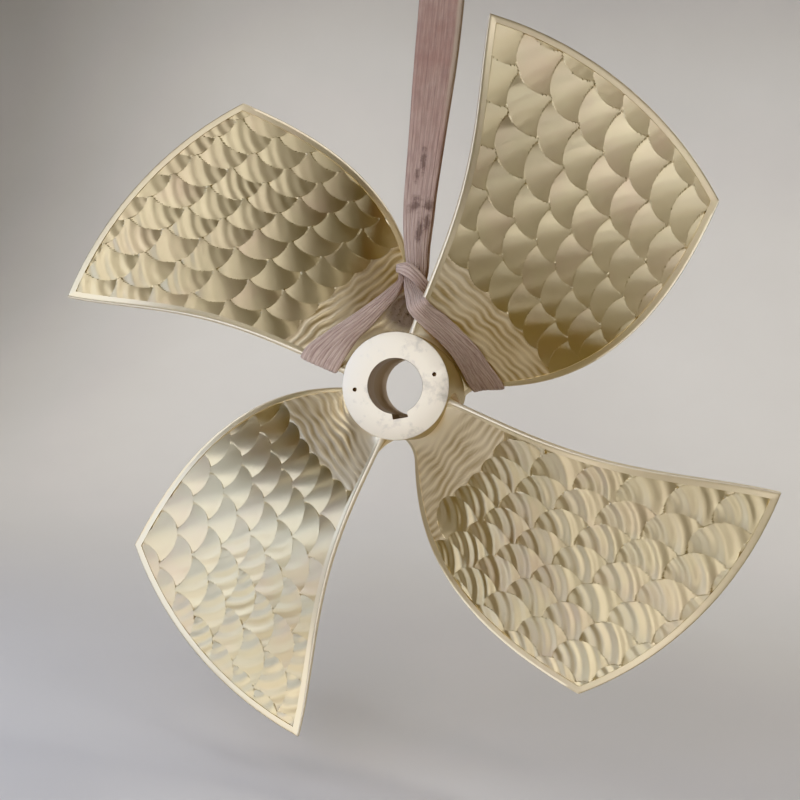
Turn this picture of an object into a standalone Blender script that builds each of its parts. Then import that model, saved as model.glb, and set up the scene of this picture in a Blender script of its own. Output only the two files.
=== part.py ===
"""Four bladed ship propeller, one bronze casting, hung in an endless webbing sling.

Metres, +Z up. The shaft axis lies along Y with the aft end of the hub towards -Y.
The origin is on the shaft axis, half way along the hub.
"""
import math

import bmesh
import bpy
import numpy as np
from mathutils import Matrix, Vector

# Hub, a short turned barrel around the shaft axis
HUB_LENGTH = 0.320
HUB_AFT_RADIUS = 0.150
HUB_FORWARD_RADIUS = 0.167
HUB_CHAMFER = 0.004
BORE_AFT_RADIUS = 0.0765
BORE_TAPER = 1 / 12
BORE_SEAT_LENGTH = 0.095
BORE_RELIEF_DEPTH = 0.007
BORE_RELIEF_RUN = 0.010
KEYWAY_WIDTH = 0.043
KEYWAY_DEPTH = 0.014
KEYWAY_DEG = 285
TAPPED_HOLE_RADIUS = 0.006
TAPPED_HOLE_DEPTH = 0.030
TAPPED_HOLE_CIRCLE_RADIUS = 0.114
TAPPED_HOLE_DEGS = (21, 190)
HUB_STEPS = 72

# Blades: each row gives the root, 30 %, 65 % and tip values along the span
BLADES = 4
TIP_RADIUS = 1.000
STATION_SHARES = (0.0, 0.3, 0.65, 1.0)
FIRST_BLADE_DEG = 42.3
SKEW_DEG = (-0.5, -1.4, 5.9, 15.1)
CHORD_DEG = (72.8, 67.4, 57.5, 45.0)
PITCH = (1.36, 1.93, 1.86, 1.53)
RAKE = (0.002, 0.001, -0.034, -0.120)
THICKNESS = (0.082, 0.056, 0.032, 0.014)
EDGE_THICKNESS = (0.012, 0.014, 0.013, 0.010)
FILLET_HEIGHT = 0.085
ROOT_FILLET = 0.046
LEADING_FILLET = 0.075
TRAILING_FILLET = 0.003
BLADE_BURY = 0.030
FACING_STEP = 0.001
CHORD_STEPS = 12
EDGE_STEPS = 4
FILLET_STATIONS = 6
SPAN_STATIONS = 13

# Sling, an endless webbing loop hitched round the two upper blade roots
WRAP_THICKNESS = 0.014
WRAP_GAP = 0.0011
LEFT_WRAP = ((0.170, 0.265), (0.285, 0.362))
RIGHT_WRAP = ((0.172, 0.250), (0.172, 0.235), (0.182, 0.270), (0.285, 0.350))
HITCH_CENTRE = (0.000, -0.030, 0.315)
HITCH_SIZE = (0.074, 0.070, 0.092)
STRAND_WIDTH = 0.042
STRAND_THICKNESS = 0.018
# Each strand end on the hitch: its place in half sizes, the way it lies across, the way it faces.
LEFT_START = ((-0.35, -0.5, -0.35), (-0.75, 0, 0.66), (0, -1, 0))
LEFT_END = ((-0.45, 0.4, 0.1), (0, 0, 1), (1, 0, 0))
RIGHT_START = ((0.25, -0.25, -0.45), (0.53, -0.28, 0.72), (-0.72, -0.48, 0.34))
RIGHT_END = ((0.1, 0.45, 0.3), (0.48, 0, 0.87), (-0.1, 1, 0))
RIGHT_LEAVE_STEPS = 5
HOIST_HEIGHTS = (0.315, 0.400, 0.550, 1.170)
HOIST_WIDTHS = (0.058, 0.075, 0.100, 0.146)
HOIST_THICKNESSES = (0.046, 0.040, 0.030, 0.026)
EYE_LENGTH = 0.200
EYE_RADIUS = 0.034
EYE_THICKNESS = 0.009
EYE_STEPS = 12
WIDTH_STEPS = 3
ROUND_STEPS = 16


def clear_scene():
    for existing in list(bpy.data.objects):
        bpy.data.objects.remove(existing, do_unlink=True)


def new_collection(name):
    collection = bpy.data.collections.new(name)
    bpy.context.scene.collection.children.link(collection)
    return collection


def new_material(name, colour, roughness, metallic):
    material = bpy.data.materials.new(name)
    material.use_nodes = True
    shader = material.node_tree.nodes["Principled BSDF"]
    shader.inputs["Base Color"].default_value = (*colour, 1)
    shader.inputs["Roughness"].default_value = roughness
    shader.inputs["Metallic"].default_value = metallic
    return material


def add_object(name, mesh, collection):
    placed = bpy.data.objects.new(name, mesh)
    collection.objects.link(placed)
    return placed


def mesh_from(name, bm):
    bmesh.ops.recalc_face_normals(bm, faces=bm.faces[:])
    mesh = bpy.data.meshes.new(name)
    bm.to_mesh(mesh)
    bm.free()
    return mesh


def as_cutter(cutter):
    cutter.hide_render = True
    cutter.display_type = "WIRE"


def add_boolean(target, other, operation):
    boolean = target.modifiers.new(other.name, "BOOLEAN")
    boolean.operation = operation
    boolean.solver = "EXACT"
    boolean.object = other


def along_span(values, radius):
    """A blade value at a radius, on the cubic through its four stations."""
    span = TIP_RADIUS - HUB_AFT_RADIUS
    share = (radius - HUB_AFT_RADIUS) / span
    total = 0
    for i, station in enumerate(STATION_SHARES):
        others = [other for j, other in enumerate(STATION_SHARES) if j != i]
        weight = math.prod((share - other) / (station - other) for other in others)
        total += weight * values[i]
    return total


def root_flare(radius):
    """How far the root fillet pushes the section out, as a share of the fillet."""
    rise = max(radius - HUB_AFT_RADIUS, 0) / FILLET_HEIGHT
    if rise >= 1:
        return 0
    return 1 - math.sqrt(1 - (1 - rise) ** 2)


def flat_section(radius):
    """The blade section unrolled at a radius, as rows of (along, out).

    Along runs from the leading to the trailing edge, out towards the suction side.
    The outline goes down the pressure side, round the trailing edge, back along the
    suction side and round the leading edge.
    """
    pitch_angle = math.atan2(along_span(PITCH, radius), 2 * math.pi * radius)
    chord = radius * math.radians(along_span(CHORD_DEG, radius)) / math.cos(pitch_angle)
    edge = along_span(EDGE_THICKNESS, radius)
    crown = along_span(THICKNESS, radius) - edge
    turns = np.linspace(0, math.pi, CHORD_STEPS + 1)
    shares = (1 - np.cos(turns)) / 2
    flat_run = edge / 2 + shares * (chord - edge)
    suction = edge + crown * 4 * shares * (1 - shares)
    edge_turns = np.linspace(0, math.pi, EDGE_STEPS + 1)[1:-1]
    rows = [(s, 0) for s in flat_run]
    rows += [(flat_run[-1] + edge / 2 * math.sin(t), edge / 2 * (1 - math.cos(t))) for t in edge_turns]
    rows += [(s, n) for s, n in zip(flat_run[::-1], suction[::-1])]
    rows += [(flat_run[0] - edge / 2 * math.sin(t), edge / 2 * (1 + math.cos(t))) for t in edge_turns]
    outline = np.array(rows)
    ahead = np.roll(outline, -1, axis=0) - np.roll(outline, 1, axis=0)
    outward = np.stack([ahead[:, 1], -ahead[:, 0]], axis=1)
    outward /= np.linalg.norm(outward, axis=1)[:, None]
    share = np.clip(outline[:, 0] / chord, 0, 1)
    fillet = LEADING_FILLET + share * (TRAILING_FILLET - LEADING_FILLET)
    fillet += 4 * share * (1 - share) * (ROOT_FILLET - fillet)
    outline += root_flare(radius) * fillet[:, None] * outward
    outline[:, 0] -= chord / 2
    return outline, pitch_angle


def blade_section(radius, blade):
    """The blade section at a radius, wrapped round the shaft axis, as rows of points."""
    outline, pitch_angle = flat_section(radius)
    along, out = outline[:, 0], outline[:, 1]
    middle = FIRST_BLADE_DEG + 360 / BLADES * blade + along_span(SKEW_DEG, radius)
    round_hub = along * math.cos(pitch_angle) + out * math.sin(pitch_angle)
    turns = math.radians(middle) + round_hub / radius
    forward = out * math.cos(pitch_angle) - along * math.sin(pitch_angle)
    depth = along_span(RAKE, radius) + forward
    return np.stack([radius * np.cos(turns), depth, radius * np.sin(turns)], axis=1)


def blade_radii():
    bottom = HUB_AFT_RADIUS - BLADE_BURY
    turns = np.linspace(0, math.pi / 2, FILLET_STATIONS)
    fillet = HUB_AFT_RADIUS + FILLET_HEIGHT * (1 - np.cos(turns))
    free = np.linspace(fillet[-1], TIP_RADIUS, SPAN_STATIONS)
    return [bottom, *fillet, *free[1:]]


def bridge_rows(bm, first, second):
    count = len(first)
    for i in range(count):
        j = (i + 1) % count
        bm.faces.new((first[i], first[j], second[j], second[i]))


def cap_section(bm, row):
    """Closes a blade end with strips across it and a fan at each edge."""
    last = CHORD_STEPS
    across = last + EDGE_STEPS
    for i in range(last):
        bm.faces.new((row[i], row[i + 1], row[across + last - i - 1], row[across + last - i]))
    bm.faces.new(row[last:across + 1])
    bm.faces.new([*row[across + last:], row[0]])


def make_blade(blade, collection):
    bm = bmesh.new()
    rows = []
    for radius in blade_radii():
        rows.append([bm.verts.new(point) for point in blade_section(radius, blade)])
    for first, second in zip(rows, rows[1:]):
        bridge_rows(bm, first, second)
    cap_section(bm, rows[0])
    cap_section(bm, rows[-1])
    placed = add_object(f"blade_{blade + 1}", mesh_from("blade", bm), collection)
    as_cutter(placed)
    return placed


def bore_radius(depth):
    """Radius of the tapered shaft seat at a distance forward of the aft face."""
    return BORE_AFT_RADIUS + BORE_TAPER / 2 * depth


def hub_profile():
    """Closed half section of the hub as (radius, distance forward of the aft face)."""
    relief_ends = (BORE_SEAT_LENGTH, HUB_LENGTH - BORE_SEAT_LENGTH)
    relief_floor = bore_radius(HUB_LENGTH / 2) + BORE_RELIEF_DEPTH
    return [
        (HUB_AFT_RADIUS - HUB_CHAMFER, 0),
        (HUB_AFT_RADIUS, HUB_CHAMFER),
        (HUB_FORWARD_RADIUS, HUB_LENGTH - HUB_CHAMFER),
        (HUB_FORWARD_RADIUS - HUB_CHAMFER, HUB_LENGTH),
        (bore_radius(HUB_LENGTH), HUB_LENGTH),
        (bore_radius(relief_ends[1]), relief_ends[1]),
        (relief_floor, relief_ends[1] - BORE_RELIEF_RUN),
        (relief_floor, relief_ends[0] + BORE_RELIEF_RUN),
        (bore_radius(relief_ends[0]), relief_ends[0]),
        (bore_radius(0), 0),
    ]


def turn_profile(name, profile, collection):
    """Turns a closed profile of (radius, distance forward of the aft face) about Y."""
    bm = bmesh.new()
    corners = [bm.verts.new((radius, depth - HUB_LENGTH / 2, 0)) for radius, depth in profile]
    for i, corner in enumerate(corners):
        bm.edges.new((corner, corners[(i + 1) % len(corners)]))
    bmesh.ops.spin(
        bm, geom=bm.edges[:], cent=(0, 0, 0), axis=(0, 1, 0), angle=2 * math.pi, steps=HUB_STEPS,
        use_merge=True,
    )
    return add_object(name, mesh_from(name, bm), collection)


def make_face_trim(name, side, collection):
    """A disc at one end face of the hub, which faces the blade roots off a little below it."""
    trim_length = 0.08
    depth = side * ((HUB_LENGTH + trim_length) / 2 - FACING_STEP)
    reach = HUB_AFT_RADIUS + ROOT_FILLET / 2
    bm = bmesh.new()
    turn = Matrix.Rotation(math.pi / 2, 4, "X")
    bmesh.ops.create_cone(
        bm, cap_ends=True, segments=HUB_STEPS, radius1=reach, radius2=reach, depth=trim_length,
        matrix=Matrix.Translation((0, depth, 0)) @ turn,
    )
    trim = add_object(name, mesh_from(name, bm), collection)
    as_cutter(trim)
    return trim


def make_keyway(collection):
    """The key slot, which follows the taper of the bore from end to end."""
    ends = 0.02
    bm = bmesh.new()
    rows = []
    for depth in (-ends, HUB_LENGTH + ends):
        floor = bore_radius(depth) + KEYWAY_DEPTH
        corners = (
            (0, -KEYWAY_WIDTH / 2), (floor, -KEYWAY_WIDTH / 2), (floor, KEYWAY_WIDTH / 2),
            (0, KEYWAY_WIDTH / 2),
        )
        rows.append([bm.verts.new((x, depth - HUB_LENGTH / 2, z)) for x, z in corners])
    bridge_rows(bm, rows[0], rows[1])
    bm.faces.new(rows[0])
    bm.faces.new(rows[1])
    bm.transform(Matrix.Rotation(-math.radians(KEYWAY_DEG), 4, "Y"))
    keyway = add_object("keyway", mesh_from("keyway", bm), collection)
    as_cutter(keyway)
    return keyway


def make_tapped_hole(index, degrees, collection):
    bm = bmesh.new()
    turn = math.radians(degrees)
    across = Vector((math.cos(turn), 0, math.sin(turn))) * TAPPED_HOLE_CIRCLE_RADIUS
    centre = across - Vector((0, HUB_LENGTH / 2, 0))
    bmesh.ops.create_cone(
        bm, cap_ends=True, segments=16, radius1=TAPPED_HOLE_RADIUS, radius2=TAPPED_HOLE_RADIUS,
        depth=2 * TAPPED_HOLE_DEPTH,
        matrix=Matrix.Translation(centre) @ Matrix.Rotation(math.pi / 2, 4, "X"),
    )
    hole = add_object(f"tapped_hole_{index + 1}", mesh_from("tapped_hole", bm), collection)
    as_cutter(hole)
    return hole


def make_casting(parts, cutters):
    bronze = new_material("cast_bronze", (0.62, 0.50, 0.28), 0.35, 1.0)
    casting = turn_profile("propeller_casting", hub_profile(), parts)
    casting.data.materials.append(bronze)
    trims = [make_face_trim("aft_trim", -1, cutters), make_face_trim("forward_trim", 1, cutters)]
    for index in range(BLADES):
        blade = make_blade(index, cutters)
        for trim in trims:
            add_boolean(blade, trim, "DIFFERENCE")
        add_boolean(casting, blade, "UNION")
    add_boolean(casting, make_keyway(cutters), "DIFFERENCE")
    for index, degrees in enumerate(TAPPED_HOLE_DEGS):
        add_boolean(casting, make_tapped_hole(index, degrees, cutters), "DIFFERENCE")
    return casting


def surface_point(blade, radius, step):
    """A point of the blade surface and its outward normal, by radius and outline step."""
    reach = 0.001
    row = blade_section(radius, blade)
    count = len(row)
    along = row[(step + 1) % count] - row[(step - 1) % count]
    outer = blade_section(radius + reach, blade)[step % count]
    inner = blade_section(radius - reach, blade)[step % count]
    normal = np.cross(outer - inner, along)
    return row[step % count], normal / np.linalg.norm(normal)


def wrap_row(blade, step, reach):
    """Cross section of webbing laid on a blade between two radii, as a closed ring."""
    under, over = [], []
    for radius in np.linspace(*reach, WIDTH_STEPS + 1):
        point, normal = surface_point(blade, radius, step)
        under.append(point + WRAP_GAP * normal)
        over.append(point + (WRAP_GAP + WRAP_THICKNESS) * normal)
    return under + over[::-1]


def strand_row(place, across, facing):
    """Cross section of a bunched strand of webbing where it meets the hitch, as a closed ring."""
    centre = np.array(HITCH_CENTRE) + np.array(place) * np.array(HITCH_SIZE) / 2
    across = np.array(Vector(across).normalized())
    facing = np.array(Vector(facing).normalized())
    shares = np.linspace(-0.5, 0.5, WIDTH_STEPS + 1)
    middle = [centre + share * STRAND_WIDTH * across for share in shares]
    under = [point - STRAND_THICKNESS / 2 * facing for point in middle]
    over = [point + STRAND_THICKNESS / 2 * facing for point in middle]
    return under + over[::-1]


def loft(name, rows, collection):
    bm = bmesh.new()
    rings = [[bm.verts.new(point) for point in row] for row in rows]
    for first, second in zip(rings, rings[1:]):
        bridge_rows(bm, first, second)
    bm.faces.new(rings[0])
    bm.faces.new(rings[-1])
    bmesh.ops.triangulate(bm, faces=bm.faces[:])
    placed = add_object(name, mesh_from(name, bm), collection)
    as_cutter(placed)
    return placed


def make_left_loop(collection):
    """From the hitch over the face of the left blade, round its trailing edge and back behind."""
    blade = 1
    steps = range(CHORD_STEPS, 2 * (CHORD_STEPS + EDGE_STEPS) + 1)
    trailing, leading = np.array(LEFT_WRAP)
    rows = [strand_row(*LEFT_START)]
    for step in steps:
        share = (step - steps[0]) / (steps[-1] - steps[0])
        rows.append(wrap_row(blade, step, trailing + share * (leading - trailing)))
    rows.append(strand_row(*LEFT_END))
    return loft("left_loop", rows, collection)


def make_right_loop(collection):
    """From the hitch round the right blade's trailing edge, over its face and back behind."""
    blade = 0
    suction_end = CHORD_STEPS + EDGE_STEPS
    count = 2 * suction_end
    leave = suction_end + RIGHT_LEAVE_STEPS
    front, middle, edge, back = np.array(RIGHT_WRAP)
    rows = [strand_row(*RIGHT_START)]
    for step in range(suction_end - 1, -1, -1):
        share = min(step / CHORD_STEPS, 1)
        straight = edge + share * (front - edge)
        bend = 4 * share * (1 - share) * (middle - (front + edge) / 2)
        rows.append(wrap_row(blade, step, straight + bend))
    for step in range(count - 1, leave - 1, -1):
        share = (count - step) / (count - leave)
        rows.append(wrap_row(blade, step, edge + share * (back - edge)))
    rows.append(strand_row(*RIGHT_END))
    return loft("right_loop", rows, collection)


def make_hitch(collection):
    bm = bmesh.new()
    bmesh.ops.create_uvsphere(bm, u_segments=ROUND_STEPS, v_segments=ROUND_STEPS // 2, radius=0.5)
    bmesh.ops.scale(bm, vec=HITCH_SIZE, verts=bm.verts[:])
    bmesh.ops.translate(bm, vec=HITCH_CENTRE, verts=bm.verts[:])
    hitch = add_object("hitch", mesh_from("hitch", bm), collection)
    as_cutter(hitch)
    return hitch


def make_hoist_run(collection):
    """The doubled webbing from the hitch up to the eye, bunched below and flat above."""
    rows = []
    for height, width, thickness in zip(HOIST_HEIGHTS, HOIST_WIDTHS, HOIST_THICKNESSES):
        turns = np.linspace(0, 2 * math.pi, ROUND_STEPS, endpoint=False) + math.pi / ROUND_STEPS
        x = width / 2 * np.cos(turns)
        y = HITCH_CENTRE[1] + thickness / 2 * np.sin(turns)
        rows.append(list(np.stack([x, y, np.full(ROUND_STEPS, height)], axis=1)))
    return loft("hoist_run", rows, collection)


def make_eye(collection):
    """The bight at the top of the sling, where it goes over the hook."""
    foot = HOIST_HEIGHTS[-1] - EYE_RADIUS
    centre = HOIST_HEIGHTS[-1] + EYE_LENGTH - EYE_RADIUS
    path = []
    for turn in np.linspace(0, math.pi, EYE_STEPS + 1):
        path.append((math.cos(turn), math.sin(turn), centre))
    path.append((0, -1, foot))
    bm = bmesh.new()
    rings = []
    for across, up, level in path:
        ring = []
        for reach in (EYE_RADIUS, EYE_RADIUS + EYE_THICKNESS):
            if level == foot:
                reach = reach - EYE_RADIUS
            y = HITCH_CENTRE[1] + reach * across
            z = level + reach * up
            half = HOIST_WIDTHS[-1] / 2
            ring.append((bm.verts.new((-half, y, z)), bm.verts.new((half, y, z))))
        rings.append([ring[0][0], ring[0][1], ring[1][1], ring[1][0]])
    for first, second in zip(rings, [*rings[1:], rings[0]]):
        bridge_rows(bm, first, second)
    bmesh.ops.triangulate(bm, faces=bm.faces[:])
    eye = add_object("eye", mesh_from("eye", bm), collection)
    as_cutter(eye)
    return eye


def make_sling(parts, cutters):
    webbing = new_material("woven_polyester", (0.42, 0.30, 0.27), 0.9, 0.0)
    sling = make_hoist_run(cutters)
    cutters.objects.unlink(sling)
    parts.objects.link(sling)
    sling.name = "lifting_sling"
    sling.hide_render = False
    sling.display_type = "TEXTURED"
    sling.data.materials.append(webbing)
    for piece in (make_hitch, make_left_loop, make_right_loop, make_eye):
        add_boolean(sling, piece(cutters), "UNION")
    return sling


def main():
    clear_scene()
    parts = new_collection("ship_propeller")
    cutters = new_collection("cutters")
    make_casting(parts, cutters)
    make_sling(parts, cutters)


main()
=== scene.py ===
import math

import bpy
import numpy as np
from mathutils import Matrix, Vector


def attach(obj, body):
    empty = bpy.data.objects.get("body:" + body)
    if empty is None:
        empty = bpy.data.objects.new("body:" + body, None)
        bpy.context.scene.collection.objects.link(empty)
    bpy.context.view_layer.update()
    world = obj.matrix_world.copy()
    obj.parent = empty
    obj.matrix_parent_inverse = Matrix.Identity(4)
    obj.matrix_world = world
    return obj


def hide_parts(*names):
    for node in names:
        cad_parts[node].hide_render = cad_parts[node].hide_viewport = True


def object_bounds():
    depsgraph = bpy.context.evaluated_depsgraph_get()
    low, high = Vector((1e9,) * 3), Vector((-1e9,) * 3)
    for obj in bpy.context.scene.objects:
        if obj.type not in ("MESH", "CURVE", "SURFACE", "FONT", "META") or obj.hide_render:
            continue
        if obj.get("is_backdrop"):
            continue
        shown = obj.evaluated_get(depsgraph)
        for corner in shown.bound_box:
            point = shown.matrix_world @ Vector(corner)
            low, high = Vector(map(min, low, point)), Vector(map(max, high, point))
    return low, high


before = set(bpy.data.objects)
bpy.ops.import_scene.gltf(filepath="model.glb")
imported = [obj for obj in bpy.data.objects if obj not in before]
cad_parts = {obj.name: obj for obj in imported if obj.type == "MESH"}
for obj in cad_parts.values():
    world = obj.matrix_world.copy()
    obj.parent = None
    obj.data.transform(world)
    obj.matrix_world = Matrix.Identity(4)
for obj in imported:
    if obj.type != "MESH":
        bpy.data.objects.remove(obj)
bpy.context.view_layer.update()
bpy.ops.object.select_all(action="DESELECT")


# Camera: stands a little to the right of the shaft line, level with the hub, and looks slightly
# left. It is turned from looking straight down, and its lens is given for a picture 800 pixels wide.
CAMERA_PLACE = (0.37923, -2.07769, 0.01059)
CAMERA_TURN_DEG = (88.5916, -4.9650, 10.7915)
CAMERA_NEAR = 0.05
FOCAL_PIXELS = 711.637
FRAME_PIXELS = 800
SENSOR_MM = 36

camera_data = bpy.data.cameras.new("camera")
camera_data.sensor_fit = "HORIZONTAL"
camera_data.sensor_width = SENSOR_MM
camera_data.lens = FOCAL_PIXELS / FRAME_PIXELS * SENSOR_MM
camera_data.clip_start = CAMERA_NEAR
camera = bpy.data.objects.new("camera", camera_data)
camera.location = CAMERA_PLACE
camera.rotation_euler = [math.radians(angle) for angle in CAMERA_TURN_DEG]
bpy.context.scene.collection.objects.link(camera)
bpy.context.scene.camera = camera


# Stage: a plain pale floor that rises into a plain wall behind, and soft studio lights.
# The colours are sRGB hex values, which one function turns to the linear values of a shader.
FLOOR_LEVEL = -1.13
FLOOR_SIDE = 24
WALL_PLACE = 7.0
WALL_HEIGHT = 14
SWEEP_RADIUS = 5.0
SWEEP_SEGMENTS = 32
FLOOR_HEXES = ("#D6D2CC", "#DEDAD4")
FLOOR_ROUGHNESS = 0.9
FLOOR_SPECULAR = 0.2
ROOM_HEX = "#B6AEA8"
BACKDROP_HEXES = ("#BAB4AC", "#A8A29A")
WORLD_STRENGTH = 0.8


def linear(hex_colour):
    """The linear colour that a shader needs for an sRGB hex value."""
    values = [int(hex_colour[i:i + 2], 16) / 255 for i in (1, 3, 5)]
    return tuple(v / 12.92 if v <= 0.04045 else ((v + 0.055) / 1.055) ** 2.4 for v in values) + (1,)


def add_node(tree, kind, settings=None, inputs=None):
    """Adds one node with its settings. Each input gets a value, or a link from a socket or a node."""
    node = tree.nodes.new("ShaderNode" + kind)
    for name, value in (settings or {}).items():
        setattr(node, name, value)
    for name, value in (inputs or {}).items():
        if isinstance(value, bpy.types.Node):
            value = next(output for output in value.outputs if output.enabled)
        if isinstance(value, bpy.types.NodeSocket):
            tree.links.new(value, node.inputs[name])
        else:
            node.inputs[name].default_value = value
    return node


def new_material(name):
    """A new material, its tree of nodes and its shader."""
    material = bpy.data.materials.new(name)
    material.use_nodes = True
    tree = material.node_tree
    return material, tree, tree.nodes["Principled BSDF"]


floor_middle = WALL_PLACE - FLOOR_SIDE / 2
bpy.ops.mesh.primitive_plane_add(size=FLOOR_SIDE, location=(0, floor_middle, FLOOR_LEVEL))
floor = bpy.context.active_object
floor.name = "floor"
for vertex in floor.data.vertices:
    vertex.select = vertex.co.y > 0
bpy.ops.object.mode_set(mode="EDIT")
bpy.ops.mesh.extrude_region_move(TRANSFORM_OT_translate={"value": (0, 0, WALL_HEIGHT)})
bpy.ops.object.mode_set(mode="OBJECT")
sweep = floor.modifiers.new("sweep", "BEVEL")
sweep.width = SWEEP_RADIUS
sweep.segments = SWEEP_SEGMENTS
bpy.ops.object.modifier_apply(modifier="sweep")
bpy.ops.object.shade_smooth()
material, tree, shader = new_material("painted_floor")
shader.inputs["Roughness"].default_value = FLOOR_ROUGHNESS
shader.inputs["Specular IOR Level"].default_value = FLOOR_SPECULAR
place = add_node(tree, "TexCoord").outputs["Object"]
mottle = add_node(tree, "TexNoise", {}, {"Scale": 0.8, "Detail": 4.0, "Vector": place})
tone = add_node(tree, "Mix", {"data_type": "RGBA"}, {
    "Factor": mottle, "A": linear(FLOOR_HEXES[0]), "B": linear(FLOOR_HEXES[1]),
})
tree.links.new(tone.outputs["Result"], shader.inputs["Base Color"])
floor.data.materials.append(material)
floor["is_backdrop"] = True

world = bpy.data.worlds.new("studio")
bpy.context.scene.world = world
world.use_nodes = True
tree = world.node_tree
sky_place = add_node(tree, "TexCoord")
toward = add_node(tree, "SeparateXYZ", {}, {"Vector": sky_place.outputs["Generated"]})
upward = add_node(tree, "MapRange", {}, {
    "From Min": -0.05, "From Max": 0.6, "Value": toward.outputs["Z"],
})
backdrop = add_node(tree, "Mix", {"data_type": "RGBA"}, {
    "Factor": upward, "A": linear(BACKDROP_HEXES[0]), "B": linear(BACKDROP_HEXES[1]),
})
forward = add_node(tree, "MapRange", {}, {
    "From Min": -0.1, "From Max": 0.35, "Value": toward.outputs["Y"],
})
room = add_node(tree, "Mix", {"data_type": "RGBA"}, {
    "Factor": forward, "A": linear(ROOM_HEX), "B": backdrop,
})
tree.links.new(room.outputs["Result"], tree.nodes["Background"].inputs["Color"])
tree.nodes["Background"].inputs["Strength"].default_value = WORLD_STRENGTH


# Soft panels stand round the aft side on a bowl, as windows, doors and pale walls stood round the
# shop. Each group has how bright it looks, and its places as azimuth to the right and elevation.
WINDOWS = (2.4, ((-65, 0), (-10, 0), (-40, 18), (-20, 18)))
PALE_WALLS = (1.6, ((-40, -18), (-45, 0), (10, 0), (-60, 18), (0, 18)))
LIT_FLOOR = (1.1, ((-35, -50), (30, -50), (-20, -18), (0, -18), (-28, 0), (0, 86)))
DIM_SIDES = (0.58, (
    (-60, -18), (20, -18), (-83, 0), (28, 0), (46, 0), (65, 0),
    (-82, 18), (20, 18), (-11, 35), (-35, 50), (0, 50), (-35, 70),
))
PANEL_DISTANCE = 3.4
PANEL_FLOOR_GAP = 0.10
PANEL_HALF_DEG = 8.0
PANEL_HEX = "#EEF2FF"
PANEL_LEFT_HEX = "#C6D8FF"
PANEL_LEFT_DEG = -35


def add_soft_box(name, place, toward, size, energy, colour=(1, 1, 1)):
    """A square soft light that shines toward a point and isn't seen itself."""
    light = bpy.data.lights.new(name, "AREA")
    light.shape = "SQUARE"
    light.size = size
    light.energy = energy
    light.color = colour
    lamp = bpy.data.objects.new(name, light)
    lamp.location = place
    lamp.rotation_euler = (Vector(place) - Vector(toward)).to_track_quat("Z", "Y").to_euler()
    lamp.visible_camera = False
    bpy.context.scene.collection.objects.link(lamp)


def add_panel(azimuth, elevation, radiance):
    """A soft panel that faces the hub, kept above the floor."""
    turn, rise = math.radians(azimuth), math.radians(elevation)
    distance = PANEL_DISTANCE
    if elevation < 0:
        distance = min(distance, (-FLOOR_LEVEL - PANEL_FLOOR_GAP) / math.sin(-rise))
    outward = Vector((math.sin(turn) * math.cos(rise), -math.cos(turn) * math.cos(rise), math.sin(rise)))
    size = 2 * distance * math.tan(math.radians(PANEL_HALF_DEG))
    colour = linear(PANEL_LEFT_HEX if azimuth < PANEL_LEFT_DEG else PANEL_HEX)[:3]
    add_soft_box("panel", outward * distance, (0, 0, 0), size, radiance * math.pi * size ** 2, colour)


for radiance, places in (WINDOWS, PALE_WALLS, LIT_FLOOR, DIM_SIDES):
    for azimuth, elevation in places:
        add_panel(azimuth, elevation, radiance)

# Larger soft boxes light the wall behind, out of the faces' sight. The last two face the other way,
# so that the wall is pale in a view from behind too. Each has its place, its aim and its energy.
BACK_LIGHTS = (
    ((-3.4, 1.8, 3.6), (-3.0, 6.5, 0.8), 90), ((3.4, 1.8, 3.6), (2.5, 6.5, 0.0), 90),
    ((-3.4, -1.8, 3.6), (-3.0, -6.5, 0.8), 36), ((3.4, -1.8, 3.6), (2.5, -6.5, 0.0), 36),
)
BACK_SIZE = 2.4
EXPOSURE = 0.79

for spot, aim, energy in BACK_LIGHTS:
    add_soft_box("back_light", spot, aim, BACK_SIZE, energy)
bpy.context.scene.view_settings.view_transform = "Khronos PBR Neutral"
bpy.context.scene.view_settings.exposure = EXPOSURE


# Blades: four alike, cast with the hub in manganese bronze. The sections lie on cylinders round
# the shaft, and their values are a cubic through four stations from hub to tip. A blade's points
# are worked out and not modelled, because hundreds of cuts that overlap have to lie in its faces.
HUB_AFT_RADIUS = 0.150
HUB_FORWARD_RADIUS = 0.167
HUB_LENGTH = 0.320
FACING_STEP = 0.001
BLADES = 4
TIP_RADIUS = 1.000
STATION_SHARES = (0.0, 0.3, 0.65, 1.0)
FIRST_BLADE_DEG = 42.3
SKEW_DEG = (-0.5, -1.4, 5.9, 15.1)
CHORD_DEG = (72.8, 67.4, 57.5, 45.0)
PITCH = (1.36, 1.93, 1.86, 1.53)
RAKE = (0.002, 0.001, -0.034, -0.120)
THICKNESS = (0.082, 0.056, 0.032, 0.014)
EDGE_THICKNESS = (0.012, 0.014, 0.013, 0.010)
FILLET_HEIGHT = 0.085
ROOT_FILLET = 0.046
LEADING_FILLET = 0.075
TRAILING_FILLET = 0.003
BLADE_BURY = 0.030
PRESSURE_COLUMNS = 228
SUCTION_COLUMNS = 114
TRAILING_COLUMNS = 8
LEADING_COLUMNS = 12
BORDER_COLUMNS = 4
SPAN_ROWS = 246
TIP_ROUNDING = 0.003
SQUARENESS = 0.55
LEADING_BORDER = 0.030
TRAILING_BORDER = 0.020
TIP_BORDER = 0.017
BORDER_STEP = 0.0006
BORDER_STEP_SHARE = 0.001
FACE_CLEARANCE_SLOPE = 3
NEVER_ZERO = 1e-12


def span_value(values, radius):
    """The value at a radius of the cubic through the values at the four stations."""
    share = (radius - HUB_AFT_RADIUS) / (TIP_RADIUS - HUB_AFT_RADIUS)
    total = 0
    for i, station in enumerate(STATION_SHARES):
        others = [other for j, other in enumerate(STATION_SHARES) if j != i]
        weight = math.prod((share - other) / (station - other) for other in others)
        total = total + weight * values[i]
    return total


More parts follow.
